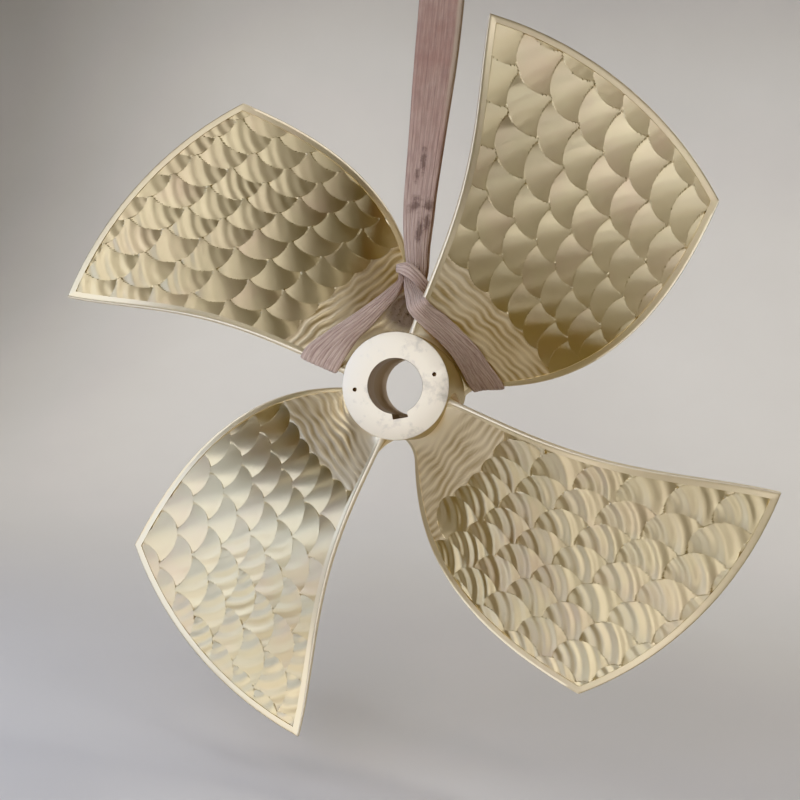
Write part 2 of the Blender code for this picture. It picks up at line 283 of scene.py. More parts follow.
def bordered(leading, trailing, step, count):
    """Shares from 0 to 1 in even steps, with a close pair of lines at each inner edge of the border."""
    inner = np.linspace(leading + step, 1 - trailing - step, count - 1 - 2 * BORDER_COLUMNS)
    first = np.linspace(0, leading, BORDER_COLUMNS + 1)
    last = np.linspace(1 - trailing, 1, BORDER_COLUMNS + 1)
    return np.concatenate([first, inner, last])


def blade_columns():
    """For each column round a section: its side, its share of the chord and its turn round the edge."""
    trailing = np.linspace(0, math.pi, TRAILING_COLUMNS + 1)[1:-1]
    leading = np.linspace(0, math.pi, LEADING_COLUMNS + 1)[1:-1]
    pressure = bordered(LEADING_BORDER, TRAILING_BORDER, BORDER_STEP_SHARE, PRESSURE_COLUMNS)
    suction = 1 - bordered(TRAILING_BORDER, LEADING_BORDER, BORDER_STEP_SHARE, SUCTION_COLUMNS)
    side = [0] * len(pressure) + [1] * len(trailing) + [2] * len(suction) + [3] * len(leading)
    share = [*pressure, *np.ones(len(trailing)), *suction, *np.zeros(len(leading))]
    turn = [*np.zeros(len(pressure)), *trailing, *np.zeros(len(suction)), *leading]
    return np.array(side), np.array(share), np.array(turn)


def squared(value):
    """A sine or cosine that rounds an edge less than a circle does."""
    return np.sign(value) * np.abs(value) ** SQUARENESS


def blade_surface(radius, columns, blade):
    """Points of a blade by radius (rows) and column, and each point's place on the unrolled blade."""
    side, share, turn = columns
    radius = np.asarray(radius, float)[:, None]
    pitch = np.arctan2(span_value(PITCH, radius), 2 * math.pi * radius)
    chord = radius * np.radians(span_value(CHORD_DEG, radius)) / np.cos(pitch)
    edge = span_value(EDGE_THICKNESS, radius)
    crown = span_value(THICKNESS, radius) - edge
    along = edge / 2 + share * (chord - edge)
    out = np.where(side == 2, edge + crown * 4 * share * (1 - share), 0.0)
    slope = np.where(side == 2, crown * 4 * (1 - 2 * share) / (chord - edge), 0.0)
    along = along + np.where(side == 1, edge / 2 * squared(np.sin(turn)), 0)
    out = out + np.where(side == 1, edge / 2 * (1 - squared(np.cos(turn))), 0)
    along = along - np.where(side == 3, edge / 2 * squared(np.sin(turn)), 0)
    out = out + np.where(side == 3, edge / 2 * (1 + squared(np.cos(turn))), 0)
    length = np.sqrt(1 + slope ** 2)
    flat = 0 * slope
    face_along = np.choose(side, [flat, np.sin(turn) + flat, -slope / length, -np.sin(turn) + flat])
    face_out = np.choose(side, [flat - 1, -np.cos(turn) + flat, 1 / length, np.cos(turn) + flat])
    rise = np.clip((radius - HUB_AFT_RADIUS) / FILLET_HEIGHT, 0, 1)
    flare = 1 - np.sqrt(1 - (1 - rise) ** 2)
    chord_share = np.clip(along / chord, 0, 1)
    fillet = LEADING_FILLET + chord_share * (TRAILING_FILLET - LEADING_FILLET)
    fillet = fillet + 4 * chord_share * (1 - chord_share) * (ROOT_FILLET - fillet)
    along = along + flare * fillet * face_along - chord / 2
    out = out + flare * fillet * face_out
    round_shaft = along * np.cos(pitch) + out * np.sin(pitch)
    own_turn = np.radians(span_value(SKEW_DEG, radius)) + round_shaft / radius
    turns = own_turn + math.radians(FIRST_BLADE_DEG + 360 / BLADES * blade)
    depth = span_value(RAKE, radius) + out * np.cos(pitch) - along * np.sin(pitch)
    clear_of_face = np.maximum(radius - HUB_AFT_RADIUS - ROOT_FILLET / 2, 0) * FACE_CLEARANCE_SLOPE
    face = HUB_LENGTH / 2 - FACING_STEP
    depth = np.clip(depth, -face - clear_of_face, face + clear_of_face)
    points = np.stack([radius * np.cos(turns), depth, radius * np.sin(turns)], axis=-1)
    unrolled = np.stack([radius * np.cos(own_turn), radius * np.sin(own_turn) / np.cos(pitch)], axis=-1)
    return points, unrolled, chord


def surface_normals(points):
    """Outward normals of a closed grid of points, whose rows run round the blade."""
    around = np.roll(points, -1, axis=1) - np.roll(points, 1, axis=1)
    outward = np.gradient(points, axis=0)
    normals = np.cross(outward, around)
    return normals / np.maximum(np.linalg.norm(normals, axis=-1, keepdims=True), NEVER_ZERO)


# Grinding: the founder dressed each face by hand. A disc swung from one side left round cuts that
# overlap like a fish's scales, and a smaller tool left long wavy strokes across each root.
# Each blade's cuts lie in gently bowed rows: the place of one cut, the step to the next row, the
# step along a row, and how the steps change with the row, with both and along the row.
CUT_ROWS = (
    ((0.7168, 0.1211), (-0.0900, -0.0578), (0.0135, -0.0972),
     (0.0002, -0.0005), (-0.0028, 0.0028), (-0.0019, 0.0024)),
    ((0.7169, 0.1390), (-0.0879, -0.0639), (0.0193, -0.0908),
     (-0.0004, 0.0005), (-0.0014, 0.0020), (-0.0024, 0.0010)),
    ((0.7745, 0.2958), (-0.0818, -0.0672), (0.0265, -0.0903),
     (-0.0015, -0.0003), (-0.0021, 0.0021), (-0.0022, -0.0009)),
    ((0.7015, 0.1887), (-0.0938, -0.0666), (0.0201, -0.0953),
     (-0.0013, 0.0019), (-0.0035, 0.0033), (-0.0031, -0.0005)),
)
CUT_RADII = (0.088, 0.084, 0.084, 0.081)
SUCTION_ROWS = (
    (0.62, 0.05), (-0.089, -0.064), (0.020, -0.095), (0.0, 0.0), (-0.002, 0.002), (-0.002, 0.0),
)
SUCTION_RADIUS = 0.084
ROWS_EACH_WAY = 6
CUT_JITTER = 0.0015
CUT_SIZES = (0.985, 1.025)
CUT_FIELD_RADIUS = 1.14
CUT_FIELD_HALF_WIDTH = 0.75
# A cut's bow along and across its run, its skew, and its slopes along and across, in metres.
CUT_SHAPE = (0.0, -0.0034, -0.0004, -0.0016, 0.0006)
CUT_STRENGTHS = (1.0, 1.0, 1.1, 1.0)
SUCTION_STRENGTH = 0.8
CUT_VARIATION = 0.3
ARC_CENTRE = (-0.70, -0.05)
CUT_SINK = 0.0012
RIM_GAP = 0.00012
RIM_REACH = 0.012
ROOT_EDGE = 0.385
ROOT_EDGE_SLOPE = 0.16
ROOT_EDGE_RAGGED = 0.012
BORDER_FALL = 0.0014
# Ripples that the disc left where it chattered: their length and depth, the radius from which they
# show, and the side of the blade from which they show.
RIPPLE_LENGTHS = (0.030, 0.036, 0.040, 0.039)
RIPPLE_DEPTHS = (0.00012, 0.00070, 0.00120, 0.00130)
RIPPLE_STARTS = (0.70, 0.66, 0.62, 0.30)
RIPPLE_SIDES = (0.0, -0.10, 0.10, -1.0)
SUCTION_RIPPLE = (0.028, 0.0003, 0.5, -1.0)
RIPPLE_ONSET = 0.1
RIPPLE_SIDE_ONSET = 0.15
RIPPLE_CENTRE = 0.11
RIPPLE_TURN_DEG = 228
RIPPLE_DEPTH_RANGE = (0.6, 0.8)
STROKE_LENGTH = 0.023
STROKE_DEPTH = 0.0030
STROKE_WANDERS = ((0.014, 0.26), (0.006, 0.09))
STROKE_ROUNDNESS = 0.75
STROKE_FADE = (0.012, 0.075)
FINE_STROKE_LENGTH = 0.0085
FINE_STROKE_DEPTH = 0.0007
FINE_STROKE_WANDER = (0.008, 0.12)
# The grooves of the root strokes are painted darker as shade. This is how much of that painted shade the
# fine strokes add.
FINE_STROKE_SHADE = 0.3
# By how much these vary over the blade, and over what length.
STROKE_DEPTH_DRIFT = (0.38, 0.16)
FINE_STROKE_DRIFT = (0.5, 0.10)
# The painted shade in the grooves of the root strokes varies over the blade as well.
GROOVE_SHADE_DRIFT = (0.45, 0.12)
# Round this radius the disc rubbed the cuts flatter, toward the leading edge.
SMEAR_RADIUS = 0.50
SMEAR_REACH = 0.10
SMEAR_SHARE = 0.75
SMEAR_FROM_EDGE = (0.20, 0.05)
PRESSURE_SEED = 40
SUCTION_SEED = 80
# Marks for what belongs to no cut, beside each cut's own number, and the step between two sides.
ROOT_CUT = -1
BORDER_CUT = 900
MIXED_FACE = -5000
SIDE_STEP = 100
BORDER_TOLERANCE = 1e-6


def smooth(low, high, value):
    """A soft step from 0 at the low value to 1 at the high one."""
    share = np.clip((value - low) / (high - low), 0, 1)
    return share * share * (3 - 2 * share)


def drift(place, scale, seed, layers=4):
    """A slow random value from -1 to 1 over the unrolled blade: a few crossed waves."""
    chance = np.random.default_rng(seed)
    total = 0
    for _ in range(layers):
        turn = chance.uniform(0, 2 * math.pi)
        length = scale * chance.uniform(0.6, 1.6)
        wave = place[..., 0] * math.cos(turn) + place[..., 1] * math.sin(turn)
        total = total + np.sin(2 * math.pi * wave / length + chance.uniform(0, 2 * math.pi))
    return total / layers


def run_of(rows):
    """Unit step from one cut toward the cuts that it lies over."""
    run = np.array(rows[1]) - np.array(rows[2])
    return run / np.hypot(*run)


def disc_cuts(rows, reach, seed):
    """Centre, radius and three random marks of each disc cut, in the order in which they were made."""
    chance = np.random.default_rng(seed)
    cuts = []
    for i in range(-ROWS_EACH_WAY, ROWS_EACH_WAY + 1):
        for j in range(-ROWS_EACH_WAY, ROWS_EACH_WAY + 1):
            centre = np.array([1, i, j, i * i, i * j, j * j]) @ np.array(rows)
            centre = centre + chance.normal(0, CUT_JITTER, 2)
            size = reach * chance.uniform(*CUT_SIZES)
            marks = chance.uniform(0, 1, 3)
            ragged = chance.uniform(-ROOT_EDGE_RAGGED, ROOT_EDGE_RAGGED)
            on_blade = centre[0] + ROOT_EDGE_SLOPE * centre[1] > ROOT_EDGE + ragged
            in_field = np.hypot(*centre) < CUT_FIELD_RADIUS and abs(centre[1]) < CUT_FIELD_HALF_WIDTH
            if on_blade and in_field:
                cuts.append((*centre, size, *marks))
    run = run_of(rows)
    cuts.sort(key=lambda cut: -(cut[0] * run[0] + cut[1] * run[1]))
    return np.array(cuts)


def cut_owners(place, cuts):
    """Which cut shows at each point, as a later one lies over an earlier one."""
    owner = np.full(place.shape[:-1], ROOT_CUT)
    for number, cut in enumerate(cuts):
        distance = np.hypot(place[..., 0] - cut[0], place[..., 1] - cut[1])
        owner = np.where(distance < cut[2], number, owner)
    return owner


def moved_to_rims(place, owner, cuts):
    """Places with the points beside each rim moved onto it, so that the rims are crisp."""
    rim = np.full(owner.shape, -1)
    nearest = np.full(owner.shape, np.inf)
    for axis in (0, 1):
        for shift in (-1, 1):
            beside = np.roll(owner, shift, axis=axis)
            cutter = np.maximum(owner, beside)
            crossing = (owner != beside) & (cutter < BORDER_CUT)
            cut = cuts[np.clip(cutter, 0, len(cuts) - 1)]
            distance = np.hypot(place[..., 0] - cut[..., 0], place[..., 1] - cut[..., 1])
            away = np.abs(distance - cut[..., 2])
            closer = crossing & (away < nearest) & (away < RIM_REACH)
            rim = np.where(closer, cutter, rim)
            nearest = np.where(closer, away, nearest)
    cut = cuts[np.clip(rim, 0, len(cuts) - 1)]
    offset = place - cut[..., :2]
    distance = np.maximum(np.hypot(offset[..., 0], offset[..., 1]), NEVER_ZERO)
    reach = cut[..., 2] + np.where(owner == rim, -RIM_GAP, RIM_GAP)
    on_rim = cut[..., :2] + offset * (reach / distance)[..., None]
    return np.where((rim >= 0)[..., None], on_rim, place)


def drifting_share(place, variation, seed):
    """A share, 1 at most, that drifts over the unrolled blade."""
    size, length = variation
    return 1 - size + size * drift(place, length, seed)


def root_strokes(place, radius, seed):
    """How deep the strokes across the root go, and how much painted shade lies in their grooves."""
    across = place[..., 0] + ROOT_EDGE_SLOPE * place[..., 1]
    wander = sum(
        size * drift(place, length, seed + 1 + k) for k, (size, length) in enumerate(STROKE_WANDERS)
    )
    stroke = np.abs(np.sin(math.pi * (across + wander) / STROKE_LENGTH)) ** STROKE_ROUNDNESS
    depth = STROKE_DEPTH * drifting_share(place, STROKE_DEPTH_DRIFT, seed + 3)
    fine_wander = FINE_STROKE_WANDER[0] * drift(place, FINE_STROKE_WANDER[1], seed + 5)
    fine_stroke = np.abs(np.sin(math.pi * (across + fine_wander) / FINE_STROKE_LENGTH))
    fine_stroke = fine_stroke * drifting_share(place, FINE_STROKE_DRIFT, seed + 6)
    fade = smooth(HUB_AFT_RADIUS + STROKE_FADE[0], HUB_AFT_RADIUS + STROKE_FADE[1], radius)
    # Painted shade: the grooves of the strokes are coloured darker and their crests paler, in place of
    # the light that falls on them.
    groove_shade = stroke ** 2 * drifting_share(place, GROOVE_SHADE_DRIFT, seed + 4) + FINE_STROKE_SHADE * fine_stroke
    return (depth * stroke + FINE_STROKE_DEPTH * fine_stroke) * fade, groove_shade * fade


def cut_height(place, owner, cuts, run, strength, ripple, radius, leading_gap):
    """How high the floor of each disc cut lies, with its ripples."""
    cut = cuts[np.clip(owner, 0, len(cuts) - 1)]
    offset = place - cut[..., :2]
    along = offset @ run / cut[..., 2]
    across = offset @ np.array([-run[1], run[0]]) / cut[..., 2]
    smear = np.exp(-((radius - SMEAR_RADIUS) / SMEAR_REACH) ** 2) * smooth(*SMEAR_FROM_EDGE, leading_gap)
    bow, crown, skew, tilt, lean = CUT_SHAPE
    shape = bow * along ** 2 + crown * across ** 2 + skew * along * across + tilt * along + lean * across
    varied = 1 - CUT_VARIATION / 2 + CUT_VARIATION * cut[..., 3:5]
    height = strength * (1 - SMEAR_SHARE * smear) * varied[..., 0] * shape - CUT_SINK
    length, depth, start, side = ripple
    turn = math.radians(RIPPLE_TURN_DEG)
    from_turn = offset - RIPPLE_CENTRE * np.array([math.cos(turn), math.sin(turn)])
    from_turn = np.hypot(from_turn[..., 0], from_turn[..., 1])
    wave = np.sin(2 * math.pi * (from_turn / (length * varied[..., 1]) + cut[..., 5]))
    depth = depth * (RIPPLE_DEPTH_RANGE[0] + RIPPLE_DEPTH_RANGE[1] * cut[..., 5])
    depth = depth * smooth(start - RIPPLE_ONSET, start + RIPPLE_ONSET, radius)
    depth = depth * smooth(side - RIPPLE_SIDE_ONSET, side + RIPPLE_SIDE_ONSET, place[..., 1])
    return height + depth * wave


def ring_quads(rows, count):
    """The points of closed rings by row and column, and the corners of the faces between them."""
    index = np.arange(rows * count).reshape(rows, count)
    beside = np.roll(index, -1, axis=1)
    return index, np.stack([index[:-1], index[1:], beside[1:], beside[:-1]], axis=-1).reshape(-1, 4)


def mark(mesh, name, kind, domain, values):
    """Gives each point, corner or face of a mesh a value, a vector or a colour for its finish to read."""
    field = {"FLOAT": "value", "FLOAT_VECTOR": "vector", "FLOAT_COLOR": "color"}[kind]
    layer = mesh.attributes.new(name, kind, domain)
    layer.data.foreach_set(field, values.astype(np.float32).ravel())


def select_only(thing):
    """Makes an object the active one and the only one selected, for the operators that follow."""
    bpy.ops.object.select_all(action="DESELECT")
    bpy.context.view_layer.objects.active = thing
    thing.select_set(True)


def close_end(ring, turned):
    """Faces that close the end of a blade, between its pressure and suction columns."""
    pressure = ring[:PRESSURE_COLUMNS + 1]
    first = PRESSURE_COLUMNS + TRAILING_COLUMNS
    suction = ring[first:first + SUCTION_COLUMNS + 1][::-1]
    ratio = PRESSURE_COLUMNS // SUCTION_COLUMNS
    faces = []
    for k in range(SUCTION_COLUMNS):
        faces.append([*pressure[k * ratio:(k + 1) * ratio + 1], suction[k + 1], suction[k]])
    trailing = ring[PRESSURE_COLUMNS:first + 1]
    leading = [*ring[first + SUCTION_COLUMNS:], ring[0]]
    faces += [list(trailing)[::-1], list(leading)[::-1]]
    return [face[::-1] for face in faces] if turned else faces


def grind_side(points, unrolled, part, rows, reach, strength, ripple, radii, columns, chord, seed):
    """Grinds one side of a blade.

    Gives its points moved onto the rims, how high each then lies, to which cut it belongs, its place
    on the unrolled blade, its cut, its cut's arc centre, the steps in space of a unit of place outward
    and round, and the painted shade in the grooves of the root.
    """
    share = columns[1][part][None, :] + 0 * radii[:, None]
    radius = radii[:, None] + 0 * share
    place = unrolled[:, part]
    cuts = disc_cuts(rows, reach, seed)
    run = run_of(rows)
    owner = cut_owners(place, cuts)
    border_gap = np.minimum(share / LEADING_BORDER, (1 - share) / TRAILING_BORDER)
    border_gap = np.minimum(border_gap, (TIP_RADIUS - radius) / TIP_BORDER)
    owner = np.where(border_gap < 1 + BORDER_TOLERANCE, BORDER_CUT, owner)
    new_place = moved_to_rims(place, owner, cuts)
    height = cut_height(new_place, owner, cuts, run, strength, ripple, radius, share * chord)
    strokes, groove_shade = root_strokes(new_place, radius, seed)
    height = np.where(owner == ROOT_CUT, -strokes, height)
    height = np.where(owner == BORDER_CUT, -BORDER_FALL * (1 - np.clip(border_gap, 0, 1)), height)
    groove_shade = np.where(owner == ROOT_CUT, groove_shade, 0)
    surface = points[:, part]
    place_row, place_column = np.gradient(place, axis=0), np.gradient(place, axis=1)
    surface_row, surface_column = np.gradient(surface, axis=0), np.gradient(surface, axis=1)
    spread = place_row[..., 0] * place_column[..., 1] - place_row[..., 1] * place_column[..., 0]
    spread = np.where(np.abs(spread) < NEVER_ZERO, NEVER_ZERO, spread)[..., None]
    outward = (surface_row * place_column[..., 1:] - surface_column * place_row[..., 1:]) / spread
    round_ = (surface_column * place_row[..., :1] - surface_row * place_column[..., :1]) / spread
    move = np.clip(new_place - place, -RIM_REACH, RIM_REACH)
    surface = surface + move[..., :1] * outward + move[..., 1:] * round_
    cut = cuts[np.clip(owner, 0, len(cuts) - 1)]
    side = np.array([-run[1], run[0]])
    arc = cut[..., :2] + cut[..., 2:3] * (ARC_CENTRE[0] * run + ARC_CENTRE[1] * side)
    return surface, height, owner, new_place, cut, arc, outward, round_, groove_shade


TIP_STEPS = 4
SHARP_DEG = 40
# Where there is no cut, the brushing runs as if round a centre this far up the blade.
FAR_CENTRE = (1, 0)
EVEN_TONE = 0.5


def make_blade(blade):
    """One blade as a closed mesh, with the marks that its finish reads, smooth but for its rims."""
    columns = blade_columns()
    count = len(columns[0])
    turns = np.linspace(0, math.pi / 2, TIP_STEPS)[1:]
    last_cut = TIP_RADIUS - TIP_BORDER - BORDER_STEP
    radii = [HUB_AFT_RADIUS - BLADE_BURY, *np.linspace(HUB_AFT_RADIUS, last_cut, SPAN_ROWS)]
    tip_rows = np.linspace(TIP_RADIUS - TIP_BORDER, TIP_RADIUS - TIP_ROUNDING, BORDER_COLUMNS)
    radii = np.array([*radii, *tip_rows, *(TIP_RADIUS - TIP_ROUNDING * (1 - np.sin(turns)))])
    points, unrolled, chord = blade_surface(radii, columns, blade)
    normals = surface_normals(points)
    rows = len(radii)
    shape = (rows, count)
    owner = np.full(shape, BORDER_CUT)
    height = np.zeros(shape)
    place = unrolled.copy()
    tone = np.full(shape, EVEN_TONE)
    arc = place - FAR_CENTRE
    outward = np.gradient(points, axis=0)
    round_ = np.zeros((*shape, 3))
    ripple = (RIPPLE_LENGTHS[blade], RIPPLE_DEPTHS[blade], RIPPLE_STARTS[blade], RIPPLE_SIDES[blade])
    groove_shade = np.zeros(shape)
    sides = (
        (0, CUT_ROWS[blade], CUT_RADII[blade], CUT_STRENGTHS[blade], ripple, PRESSURE_SEED + blade),
        (2, SUCTION_ROWS, SUCTION_RADIUS, SUCTION_STRENGTH, SUCTION_RIPPLE, SUCTION_SEED + blade),
    )
    for side, cut_rows, reach, strength, ripple, seed in sides:
        part = np.where(columns[0] == side)[0]
        ground = grind_side(
            points, unrolled, part, cut_rows, reach, strength, ripple, radii, columns, chord, seed
        )
        points[:, part], height[:, part], side_owner, place[:, part], cut, cut_arc = ground[:6]
        scaled = (side_owner >= 0) & (side_owner < BORDER_CUT)
        tone[:, part] = np.where(scaled, cut[..., 3], EVEN_TONE)
        arc[:, part] = np.where(scaled[..., None], cut_arc, place[:, part] - FAR_CENTRE)
        outward[:, part], round_[:, part], groove_shade[:, part] = ground[6:]
        owner[:, part] = np.where(scaled, side_owner + SIDE_STEP * side, side_owner)
    pinch = TIP_ROUNDING * (1 - np.cos(np.concatenate([np.zeros(rows - len(turns)), turns])))
    points = points + normals * (height - pinch[:, None])[..., None]
    index, quads = ring_quads(rows, count)
    ends = close_end(list(index[0]), False) + close_end(list(index[-1]), True)
    mesh = bpy.data.meshes.new(f"blade_{blade + 1}")
    mesh.from_pydata(points.reshape(-1, 3), [], [*quads.tolist(), *ends])
    mesh.update()
    on_edge = np.isin(columns[0], (1, 3))[None, :] + 0 * height
    # The fourth channel of the finish is the painted shade in the grooves of the root strokes.
    masks = np.stack([owner == BORDER_CUT, owner == ROOT_CUT, on_edge, groove_shade], axis=-1)
    mark(mesh, "finish", "FLOAT_COLOR", "POINT", masks)
    # Each face takes the cut of its own first corner, so that no cut's pattern runs into the next.
    first = quads[:, 0]
    from_arc = place.reshape(-1, 2)[quads] - arc.reshape(-1, 2)[first][:, None, :]
    rest = sum(len(face) for face in ends)
    layer = mesh.uv_layers.new(name="arc_place")
    corner_places = np.concatenate([from_arc.ravel(), np.zeros(2 * rest)])
    layer.uv.foreach_set("vector", corner_places.astype(np.float32))
    across = from_arc[..., :1] * outward.reshape(-1, 3)[quads]
    across = across + from_arc[..., 1:] * round_.reshape(-1, 3)[quads]
    across /= np.maximum(np.linalg.norm(across, axis=-1, keepdims=True), NEVER_ZERO)
    across = np.concatenate([across.ravel(), np.tile((0.0, 1.0, 0.0), rest)])
    mark(mesh, "across_brush", "FLOAT_VECTOR", "CORNER", across)
    tones = np.concatenate([tone.ravel()[first], np.full(len(ends), EVEN_TONE)])
    mark(mesh, "cut_tone", "FLOAT", "FACE", tones)
    placed = bpy.data.objects.new(f"blade_{blade + 1}", mesh)
    bpy.context.scene.collection.objects.link(placed)
    select_only(placed)
    bpy.ops.object.shade_smooth_by_angle(angle=math.radians(SHARP_DEG))
    placed.select_set(False)
    # The rims of the cuts are sharp too, however shallow.
    corner_owners = owner.ravel()[quads]
    mixed = (corner_owners != corner_owners[:, :1]).any(axis=1)
    keys = np.where(mixed, MIXED_FACE, corner_owners[:, 0]).reshape(rows - 1, count)
    edges = np.empty(2 * len(mesh.edges), int)
    mesh.edges.foreach_get("vertices", edges)
    edges = edges.reshape(-1, 2)
    edge_rows, edge_columns = np.divmod(edges, count)
    along_row = edge_rows[:, 0] == edge_rows[:, 1]
    row = edge_rows.min(axis=1)
    wraps = np.abs(edge_columns[:, 0] - edge_columns[:, 1]) > 1
    column = np.where(along_row & wraps, edge_columns.max(axis=1), edge_columns.min(axis=1))
    below = keys[np.clip(row - 1, 0, rows - 2), column]
    above = keys[np.clip(row, 0, rows - 2), column]
    before = keys[np.clip(row, 0, rows - 2), column - 1]
    rim = np.where(along_row, below != above, before != above)
    sharp = mesh.attributes.get("sharp_edge") or mesh.attributes.new("sharp_edge", "BOOLEAN", "EDGE")
    marks = np.empty(len(mesh.edges), bool)
    sharp.data.foreach_get("value", marks)
    sharp.data.foreach_set("value", marks | rim)
    return placed


# Bronze: manganese bronze, cast and then ground by hand. Each cut is satin, with fine brush lines
# that bend round the disc, so highlights are broad and stretch across the brushing. Edges and root
# strokes are paler and duller, and shop dust lies in the crotch of the upper blades. The root
# strokes carry painted light too: their crests are painted pale as highlight, their grooves brown
# as shade.
BRONZE_HEX = "#D2C29C"
BRONZE_PALE_HEX = "#E8DCC2"
BRONZE_PINK_HEX = "#D2BC9C"
# Painted light of the root strokes: a pale crest colour as highlight and a brown groove colour as shade.
ROOT_CREST_HIGHLIGHT_HEX = "#FAEAC8"
ROOT_VALLEY_SHADE_HEX = "#AC9264"
BRUSHED_STRETCH = 0.98
BRUSHED_ROUGHNESS = 0.40
DRESSED_ROUGHNESS = 0.36
DUST_PLACE = (-0.035, 0.0, 0.236)
DUST_REACH = 0.072
DUST_SOFTNESS = 0.040
DUST_HEX = "#9E8E7E"
CRUMB_HEX = "#54483E"
# Patterns to the metre: brush lines 2.4 mm apart with finer ones between, since real ones are too
# fine to show, grain of 2 mm, and dust in crumbs of 17 mm.
BRUSH_LINES = 420.0
BRUSH_TURN_SHARE = 0.012
GRAINS = 500.0
CRUMBS = 60.0

bronze, tree, shader = new_material("ground_manganese_bronze")
place = add_node(tree, "TexCoord").outputs["Object"]
finish = add_node(tree, "Attribute", {"attribute_name": "finish"})
masks = add_node(tree, "SeparateColor", {}, {"Color": finish.outputs["Color"]})
tone = add_node(tree, "Attribute", {"attribute_name": "cut_tone"})
cloud = add_node(tree, "TexNoise", {}, {"Scale": 9.0, "Detail": 5.0, "Roughness": 0.6, "Vector": place})
warm = add_node(tree, "MapRange", {}, {"From Min": 0.4, "From Max": 0.7, "Value": cloud})
base = add_node(tree, "Mix", {"data_type": "RGBA"}, {
    "Factor": warm, "A": linear(BRONZE_HEX), "B": linear(BRONZE_PINK_HEX),
})
pale = add_node(tree, "Mix", {"data_type": "RGBA"}, {
    "Factor": tone.outputs["Fac"], "A": base, "B": linear(BRONZE_HEX),
})
# Painted light on the root strokes: their crests are painted pale as highlight, and their grooves brown
# as shade.
painted_stroke_light = add_node(tree, "Mix", {"data_type": "RGBA"}, {
    "Factor": finish.outputs["Alpha"], "A": linear(ROOT_CREST_HIGHLIGHT_HEX), "B": linear(ROOT_VALLEY_SHADE_HEX),
})
on_root = add_node(tree, "Math", {"operation": "MULTIPLY"}, {0: masks.outputs["Green"], 1: 0.95})
rooted = add_node(tree, "Mix", {"data_type": "RGBA"}, {"Factor": on_root, "A": pale, "B": painted_stroke_light})
edge_share = add_node(tree, "Math", {"operation": "MULTIPLY_ADD", "use_clamp": True}, {
    0: masks.outputs["Red"], 1: 0.22, 2: masks.outputs["Blue"],
})
edge_pale = add_node(tree, "Mix", {"data_type": "RGBA"}, {
    "Factor": edge_share, "A": rooted, "B": linear(BRONZE_PALE_HEX),
})
split = add_node(tree, "SeparateXYZ", {}, {"Vector": place})
seen_flat = add_node(tree, "CombineXYZ", {}, {"X": split.outputs["X"], "Z": split.outputs["Z"]})
from_crotch = add_node(tree, "VectorMath", {"operation": "DISTANCE"}, {0: seen_flat, 1: DUST_PLACE})
crumbs = add_node(tree, "TexNoise", {}, {
    "Scale": CRUMBS, "Detail": 6.0, "Roughness": 0.7, "Vector": place,
})
ragged = add_node(tree, "Math", {"operation": "MULTIPLY_ADD"}, {0: crumbs, 1: 0.05, 2: from_crotch})
dusty = add_node(tree, "MapRange", {}, {
    "From Min": DUST_REACH + DUST_SOFTNESS, "From Max": DUST_REACH, "Value": ragged,
})
crumb_tone = add_node(tree, "MapRange", {}, {"From Min": 0.52, "From Max": 0.66, "Value": crumbs})
dust = add_node(tree, "Mix", {"data_type": "RGBA"}, {
    "Factor": crumb_tone, "A": linear(DUST_HEX), "B": linear(CRUMB_HEX),
})
dusted = add_node(tree, "Mix", {"data_type": "RGBA"}, {"Factor": dusty, "A": edge_pale, "B": dust})
tree.links.new(dusted.outputs["Result"], shader.inputs["Base Color"])
bare = add_node(tree, "MapRange", {}, {"To Min": 1.0, "To Max": 0.25, "Value": dusty})
filmed = add_node(tree, "Math", {"operation": "MULTIPLY_ADD"}, {
    0: masks.outputs["Green"], 1: -0.20, 2: bare,
})
tree.links.new(filmed.outputs["Value"], shader.inputs["Metallic"])
dressed = add_node(tree, "Math", {"operation": "ADD"}, {
    0: masks.outputs["Red"], 1: masks.outputs["Green"],
})
uncut = add_node(tree, "Math", {"operation": "ADD", "use_clamp": True}, {
    0: dressed, 1: masks.outputs["Blue"],
})
stretch = add_node(tree, "MapRange", {}, {"To Min": BRUSHED_STRETCH, "To Max": 0.0, "Value": uncut})
tree.links.new(stretch.outputs["Result"], shader.inputs["Anisotropic"])
spread = add_node(tree, "MapRange", {}, {"To Min": -0.03, "To Max": 0.03, "Value": cloud})
satin = add_node(tree, "MapRange", {}, {
    "To Min": BRUSHED_ROUGHNESS, "To Max": DRESSED_ROUGHNESS, "Value": uncut,
})
rougher = add_node(tree, "Math", {"operation": "MULTIPLY_ADD"}, {0: edge_share, 1: 0.20, 2: satin})
uneven = add_node(tree, "Math", {"operation": "ADD"}, {0: rougher, 1: spread})
matt = add_node(tree, "Math", {"operation": "MULTIPLY_ADD"}, {0: dusty, 1: 0.35, 2: uneven})
tree.links.new(matt.outputs["Value"], shader.inputs["Roughness"])
across_brush = add_node(tree, "Attribute", {"attribute_name": "across_brush"})
to_world = {"vector_type": "VECTOR", "convert_from": "OBJECT", "convert_to": "WORLD"}
turned_brush = add_node(tree, "VectorTransform", to_world, {
    "Vector": across_brush.outputs["Vector"],
})
tree.links.new(turned_brush.outputs["Vector"], shader.inputs["Tangent"])
around = add_node(tree, "UVMap", {"uv_map": "arc_place"})
apart = add_node(tree, "VectorMath", {"operation": "LENGTH"}, {0: around})
arc_split = add_node(tree, "SeparateXYZ", {}, {"Vector": around})
turn = add_node(tree, "Math", {"operation": "ARCTAN2"}, {
    0: arc_split.outputs["Y"], 1: arc_split.outputs["X"],
})
brush_place = add_node(tree, "CombineXYZ", {}, {"X": apart, "Z": tone.outputs["Fac"]})
slow_turn = add_node(tree, "Math", {"operation": "MULTIPLY"}, {0: turn, 1: BRUSH_TURN_SHARE})
tree.links.new(slow_turn.outputs["Value"], brush_place.inputs["Y"])
